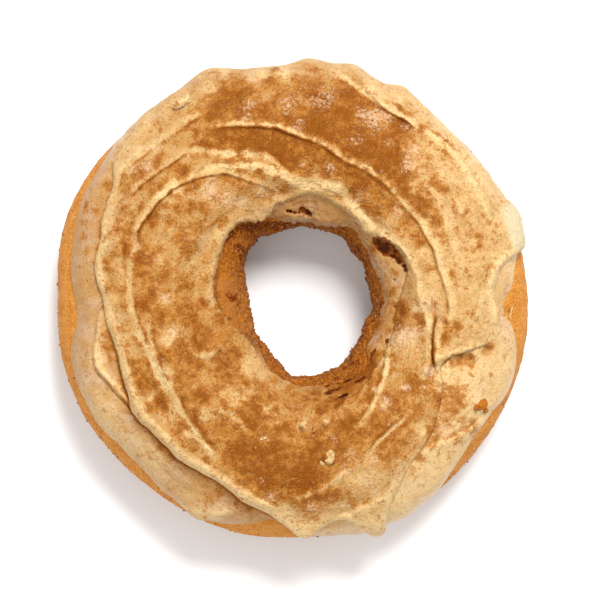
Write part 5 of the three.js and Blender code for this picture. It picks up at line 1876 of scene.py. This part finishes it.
@dataclass
class Grains:
    """Grains scattered over the icing by a node tree.

    Attributes:
        name: Name of the piece.
        finish: How the grains look.
        density: Most grains for each square metre.
        weight: Name of the number on the icing that thins them out.
        smallest: Smallest size in metres.
        largest: Largest size in metres.
        seed: Seed of the scatter.
        cubes: Whether a grain is a small block and not a flake.
        slot: The material slot that the grains belong to; not used.
    """

    name: str
    finish: GrainFinish
    density: float
    weight: str
    smallest: float
    largest: float
    seed: int
    cubes: bool = False
    slot: str = "icing"

    def tree(self, material: bpy.types.Material) -> bpy.types.NodeTree:
        """Build the node tree that scatters the grains.

        Args:
            material: The grains' material.

        Returns:
            The tree, whose inputs are Density, Smallest, Largest and Seed.
        """
        tree = bpy.data.node_groups.new(self.name + "_scatter", "GeometryNodeTree")
        face = tree.interface
        face.new_socket("Geometry", in_out="INPUT", socket_type="NodeSocketGeometry")
        for label in ("Density", "Smallest", "Largest"):
            face.new_socket(label, in_out="INPUT", socket_type="NodeSocketFloat")
        face.new_socket("Seed", in_out="INPUT", socket_type="NodeSocketInt")
        face.new_socket("Geometry", in_out="OUTPUT", socket_type="NodeSocketGeometry")

        def add(kind: str, inputs: dict[object, object], **settings: object) -> bpy.types.Node:
            """Add a node with its values and links, and its settings by keyword."""
            return add_node(tree, kind, settings, inputs)

        source = add("NodeGroupInput", {}).outputs
        cover = add("GeometryNodeInputNamedAttribute", {"Name": self.weight}, data_type="FLOAT")
        density = add(
            "ShaderNodeMath", {0: cover.outputs["Attribute"], 1: source["Density"]}, operation="MULTIPLY"
        )
        spread = add(
            "GeometryNodeDistributePointsOnFaces",
            {"Mesh": source["Geometry"], "Density": density.outputs[0], "Seed": source["Seed"]},
            distribute_method="RANDOM",
        )
        if self.cubes:
            grain = add("GeometryNodeMeshCube", {"Size": (1.0, 0.8, 0.7)}).outputs["Mesh"]
        else:
            grain = add("GeometryNodeMeshIcoSphere", {"Radius": 0.5, "Subdivisions": 1}).outputs["Mesh"]
        turn = add(
            "FunctionNodeRandomValue",
            {"Min": (0.0, 0.0, 0.0), "Max": (math.tau, math.tau, math.tau), "Seed": source["Seed"]},
            data_type="FLOAT_VECTOR",
        )
        size = add(
            "FunctionNodeRandomValue",
            {2: source["Smallest"], 3: source["Largest"], "Seed": source["Seed"]},
            data_type="FLOAT",
        )
        squash = add(
            "FunctionNodeRandomValue",
            {"Min": (0.5, 0.5, 0.4), "Max": (1.0, 1.0, 1.0), "Seed": 3},
            data_type="FLOAT_VECTOR",
        )
        scale = add(
            "ShaderNodeVectorMath", {0: squash.outputs[0], "Scale": size.outputs[1]}, operation="SCALE"
        )
        placed = add(
            "GeometryNodeInstanceOnPoints",
            {
                "Points": spread.outputs["Points"], "Instance": grain,
                "Rotation": turn.outputs[0], "Scale": scale.outputs[0],
            },
        )
        real = add("GeometryNodeRealizeInstances", {"Geometry": placed.outputs["Instances"]})
        final = add("GeometryNodeSetMaterial", {"Geometry": real.outputs["Geometry"], "Material": material})
        add("NodeGroupOutput", {"Geometry": final.outputs["Geometry"]})
        return tree

    def build(self, support: bpy.types.Object) -> bpy.types.Object:
        """Scatter the grains over a piece and make them a plain mesh.

        Args:
            support: The piece that they lie on.

        Returns:
            The grains' object.
        """
        material = self.finish.build()
        carrier = add_object(self.name + "_carrier", support.data.copy())
        modifier = carrier.modifiers.new("scatter", "NODES")
        modifier.node_group = self.tree(material)
        values = {
            "Density": self.density, "Smallest": self.smallest, "Largest": self.largest, "Seed": self.seed,
        }
        for item in modifier.node_group.interface.items_tree:
            if item.in_out == "INPUT" and item.name in values:
                modifier[item.identifier] = values[item.name]
        graph = bpy.context.evaluated_depsgraph_get()
        mesh = bpy.data.meshes.new_from_object(carrier.evaluated_get(graph))
        bpy.data.objects.remove(carrier)
        mesh.name = self.name
        piece = add_object(self.name, mesh)
        dress(piece, material)
        return piece


@dataclass(frozen=True)
class Flake:
    """A loose chip of icing that lies on the surface.

    Attributes:
        x: Place, to the right.
        y: Place, to the top.
        length: Longest size.
        width: Size across.
        thickness: Size upwards.
        heading: Direction of the longest side, in degrees.
        lift: Height of its middle over the icing, as a share of half its thickness.
        bed: Distance over the dough of what it lies on; nought for the whole icing.
    """

    x: float
    y: float
    length: float
    width: float
    thickness: float
    heading: float
    lift: float = 0.3
    bed: float = 0.0


# The loose chips of icing, and the bits of crust
ICING_FLAKES = (
    Flake(-22.5, 38.3, 3.8, 2.0, 1.3, 14.0, 0.7),
    Flake(-20.8, 39.3, 2.2, 1.5, 1.1, 50.0, 0.7),
    Flake(7.3, -31.7, 3.0, 2.3, 1.5, 75.0, -0.3),
    Flake(6.1, -32.9, 1.8, 1.3, 0.9, 30.0, -0.3),
    Flake(36.8, -11.6, 4.2, 0.55, 0.6, 62.0, 0.6, 1.0),
    Flake(43.5, -2.9, 3.2, 0.6, 0.6, 74.0, 0.2, 0.3),
    Flake(2.0, -25.1, 1.9, 0.55, 0.4, -50.0, 0.2),
    Flake(6.6, -24.6, 1.4, 0.5, 0.35, -35.0, 0.1),
    Flake(4.4, -26.2, 1.1, 0.5, 0.35, 70.0, 0.1),
    Flake(-5.5, -27.9, 0.9, 0.6, 0.4, 0.0, 0.1),
    Flake(-6.1, -28.2, 0.7, 0.5, 0.4, 60.0, 0.1),
)
CRUST_CHIPS = (
    Flake(37.9, -21.5, 2.8, 2.2, 2.0, 20.0, 0.2, 1.5),
    Flake(36.6, -22.0, 1.6, 1.2, 1.2, 70.0, 0.3, 1.5),
    Flake(38.5, -22.5, 1.4, 1.1, 1.1, -30.0, 0.2, 1.3),
    Flake(-5.8, 45.4, 1.3, 0.7, 0.6, 5.0, 1.1),
    Flake(-8.2, 45.0, 0.9, 0.6, 0.5, -10.0, 1.1),
    Flake(-3.6, 45.6, 0.9, 0.6, 0.5, 30.0, 1.1),
)


@dataclass
class Flakes:
    """Loose chips of one kind.

    Attributes:
        name: Name of the piece.
        icing: The icing that they lie on.
        flakes: Place and sizes of each chip.
        slot: The material slot that they belong to; not used.
        around: Points round each chip.
        up: Points from its top to its underside.
        cuts: Number of flat faces that the chip's shape is cut from.
        sharpness: How sharp the edges between them are.
        bumps: Noise of the relief.
    """

    name: str
    icing: Icing
    flakes: tuple[Flake, ...]
    slot: str
    around: int = 28
    up: int = 14
    cuts: int = 12
    sharpness: float = 12.0
    bumps: Lattice = Lattice(51)

    def chip(self, flake: Flake) -> Array:
        """Shape one chip.

        Args:
            flake: Its place and sizes.

        Returns:
            Points by place round it and row, from the top to the underside.
        """
        a = np.linspace(0.0, math.tau, self.around, endpoint=False)[:, None]
        b = np.linspace(0.04, math.pi - 0.04, self.up)[None, :]
        ball = (np.cos(a) * np.sin(b), np.sin(a) * np.sin(b), np.cos(b) * np.ones_like(a))
        shape = np.stack(ball, axis=-1)
        random = np.random.default_rng(int(100 * abs(flake.x)))
        cuts = random.normal(size=(self.cuts, 3))
        cuts /= np.linalg.norm(cuts, axis=1)[:, None] * random.uniform(0.55, 1.0, self.cuts)[:, None]
        facing = np.maximum(shape @ cuts.T, 0.0) ** self.sharpness
        shape = shape / ((facing.sum(axis=-1) + 0.3) ** (1.0 / self.sharpness))[..., None]
        shape = shape * (1.0 + 0.12 * self.bumps.cloud(shape + flake.x, 0.3, 2))[..., None]
        shape = shape * np.array([flake.length, flake.width, flake.thickness]) / 2
        h = math.radians(flake.heading)
        x = shape[..., 0] * math.cos(h) - shape[..., 1] * math.sin(h)
        y = shape[..., 0] * math.sin(h) + shape[..., 1] * math.cos(h)
        bearing = np.degrees(np.arctan2(flake.y, flake.x)) * np.ones(1)
        radius = np.hypot(flake.x, flake.y) * np.ones(1)
        thickness = self.icing.thickness(bearing, self.icing.ring.turn_at(bearing, radius))
        thickness = np.full_like(bearing, flake.bed) if flake.bed else thickness
        turn = self.icing.outer_turn(bearing, radius, thickness)
        floor = self.icing.ring.above(bearing, turn, thickness)[1][0]
        z = shape[..., 2] + floor + flake.lift * flake.thickness / 2
        return np.stack([x + flake.x, y + flake.y, z], axis=-1)

    def build(self, material: bpy.types.Material, values: dict[str, float]) -> bpy.types.Object:
        """Build and dress the chips as one mesh.

        Args:
            material: How the chips look.
            values: Named numbers that the material reads.

        Returns:
            The chips' object.
        """
        verts, faces = [], []
        for flake in self.flakes:
            first = len(verts)
            points = self.chip(flake)
            verts += [tuple(p * METRES) for row in points for p in row]
            i_next = [(i + 1) % self.around for i in range(self.around)]
            for i in range(self.around):
                for j in range(self.up - 1):
                    a, b = first + i * self.up + j, first + i_next[i] * self.up + j
                    faces.append((a, a + 1, b + 1, b))
            faces.append(tuple(first + i * self.up for i in range(self.around)))
            faces.append(tuple(first + i * self.up + self.up - 1 for i in reversed(range(self.around))))
        mesh = bpy.data.meshes.new(self.name)
        mesh.from_pydata(verts, [], faces)
        mesh.polygons.foreach_set("use_smooth", np.ones(len(mesh.polygons), dtype=bool))
        carry(mesh, {key: np.full(len(verts), value) for key, value in values.items()})
        mesh.update(calc_edges=True)
        piece = add_object(self.name, mesh)
        dress(piece, material)
        return piece


@dataclass(frozen=True)
class SoftLight:
    """A square light that points at the doughnut.

    Attributes:
        name: Name of the light.
        place: Where it hangs, in metres.
        size: Side of its square, in metres.
        power: Watts.
    """

    name: str
    place: tuple[float, float, float]
    size: float
    power: float

    def build(self) -> None:
        """Hang the light."""
        data = bpy.data.lights.new(self.name, "AREA")
        data.shape = "SQUARE"
        data.size = self.size
        data.energy = self.power
        light = add_object(self.name, data)
        light.location = self.place
        light.rotation_euler = (-Vector(self.place)).to_track_quat("-Z", "Y").to_euler()


@dataclass
class Studio:
    """The pale floor, the soft light and the camera.

    Attributes:
        metres_per_pixel: Size of a pixel of the picture on the doughnut.
        pixels: Width of the picture.
        centre: Place over which the camera hangs, in metres.
        distance: Height of the camera, in metres.
        focus_height: Height at which the pixel's size holds, in metres.
        sensor: Width of the sensor, in millimetres.
        floor_size: Side of the floor, in metres.
        floor_colour: Colour of the floor.
        surroundings: Strength of the white light from all sides.
        lights: The lights that hang over it.
    """

    metres_per_pixel: float = 0.0002
    pixels: int = 600
    centre: tuple[float, float] = (0.0015, -0.0006)
    distance: float = 1.5
    focus_height: float = 0.015
    sensor: float = 36.0
    floor_size: float = 6.0
    floor_colour: Colour = (0.80, 0.80, 0.80, 1.0)
    surroundings: float = 0.80
    lights: tuple[SoftLight, ...] = (
        SoftLight("key", (0.28, 0.80, 1.40), 0.55, 38.5),
        SoftLight("fill", (-0.5, -1.0, 1.2), 1.5, 9.5),
    )

    def floor(self) -> None:
        """Lay the floor."""
        bpy.ops.mesh.primitive_plane_add(size=self.floor_size, location=(0, 0, 0))
        floor = bpy.context.object
        floor.name = "floor"
        tree = Tree("floor_finish")
        inputs = {"Base Color": self.floor_colour, "Roughness": 0.7, "Specular IOR Level": 0.2}
        floor.data.materials.append(tree.finish(inputs, tree.noise(tree.place(), 3.0), 0.01))

    def build(self) -> None:
        """Set up floor, light, surroundings and camera."""
        self.floor()
        for light in self.lights:
            light.build()
        scene = bpy.context.scene
        world = bpy.data.worlds.new("surroundings")
        scene.world = world
        world.use_nodes = True
        white = world.node_tree.nodes["Background"].inputs
        white["Color"].default_value = (1.0, 1.0, 1.0, 1.0)
        white["Strength"].default_value = self.surroundings
        scene.view_settings.view_transform = "Standard"
        data = bpy.data.cameras.new("camera")
        data.sensor_width = self.sensor
        width = self.metres_per_pixel * self.pixels
        data.lens = self.sensor * (self.distance - self.focus_height) / width
        data.clip_end = 20.0
        camera = add_object("camera", data)
        camera.location = (*self.centre, self.distance)
        scene.camera = camera


def main() -> None:
    """Build every piece, in order, and the studio."""
    logging.basicConfig(level=logging.INFO)
    ring, dusting = Ring(), Dusting()
    icing = Icing(ring)
    dough = Dough(ring, dusting).build()
    coat = Coat(icing, dusting).build()
    swirl = Swirl(icing, dusting).build()
    specks = GrainFinish("cinnamon_finish", (0.15, 0.042, 0.004, 1.0), (0.30, 0.110, 0.018, 1.0), 0.75)
    crystals = GrainFinish("sugar_finish", (0.46, 0.30, 0.17, 1.0), (0.54, 0.39, 0.25, 1.0), 0.5)
    Grains("cinnamon_grains", specks, 1.2e6, "dust_and_shade", 0.00010, 0.00030, seed=5).build(swirl)
    Grains("cinnamon_grains_coat", specks, 0.25e6, "dust_and_shade", 0.00010, 0.00030, seed=6).build(coat)
    Grains("sugar_crystals", crystals, 1.1e6, "sugar", 0.00012, 0.00026, seed=7, cubes=True).build(swirl)
    crumb = GrainFinish("crumb_finish", (0.15, 0.038, 0.004, 1.0), (0.36, 0.130, 0.018, 1.0), 0.75)
    Grains("crust_crumbs", crumb, 0.6e6, "crumbs", 0.00025, 0.00075, seed=8, slot="crust").build(dough)
    soft = IcingFinish(name="flake_finish").build()
    Flakes("icing_flakes", icing, ICING_FLAKES, "icing").build(soft, {"crest": 0.75, "dust_and_shade": 0.12})
    crisp = CrustFinish(name="chip_finish").build()
    looks = {"baked": 0.55, "char_and_shade": 0.35, "dusty": 0.3}
    Flakes("crust_chips", icing, CRUST_CHIPS, "crust").build(crisp, looks)
    Studio().build()


if __name__ == "__main__":
    main()
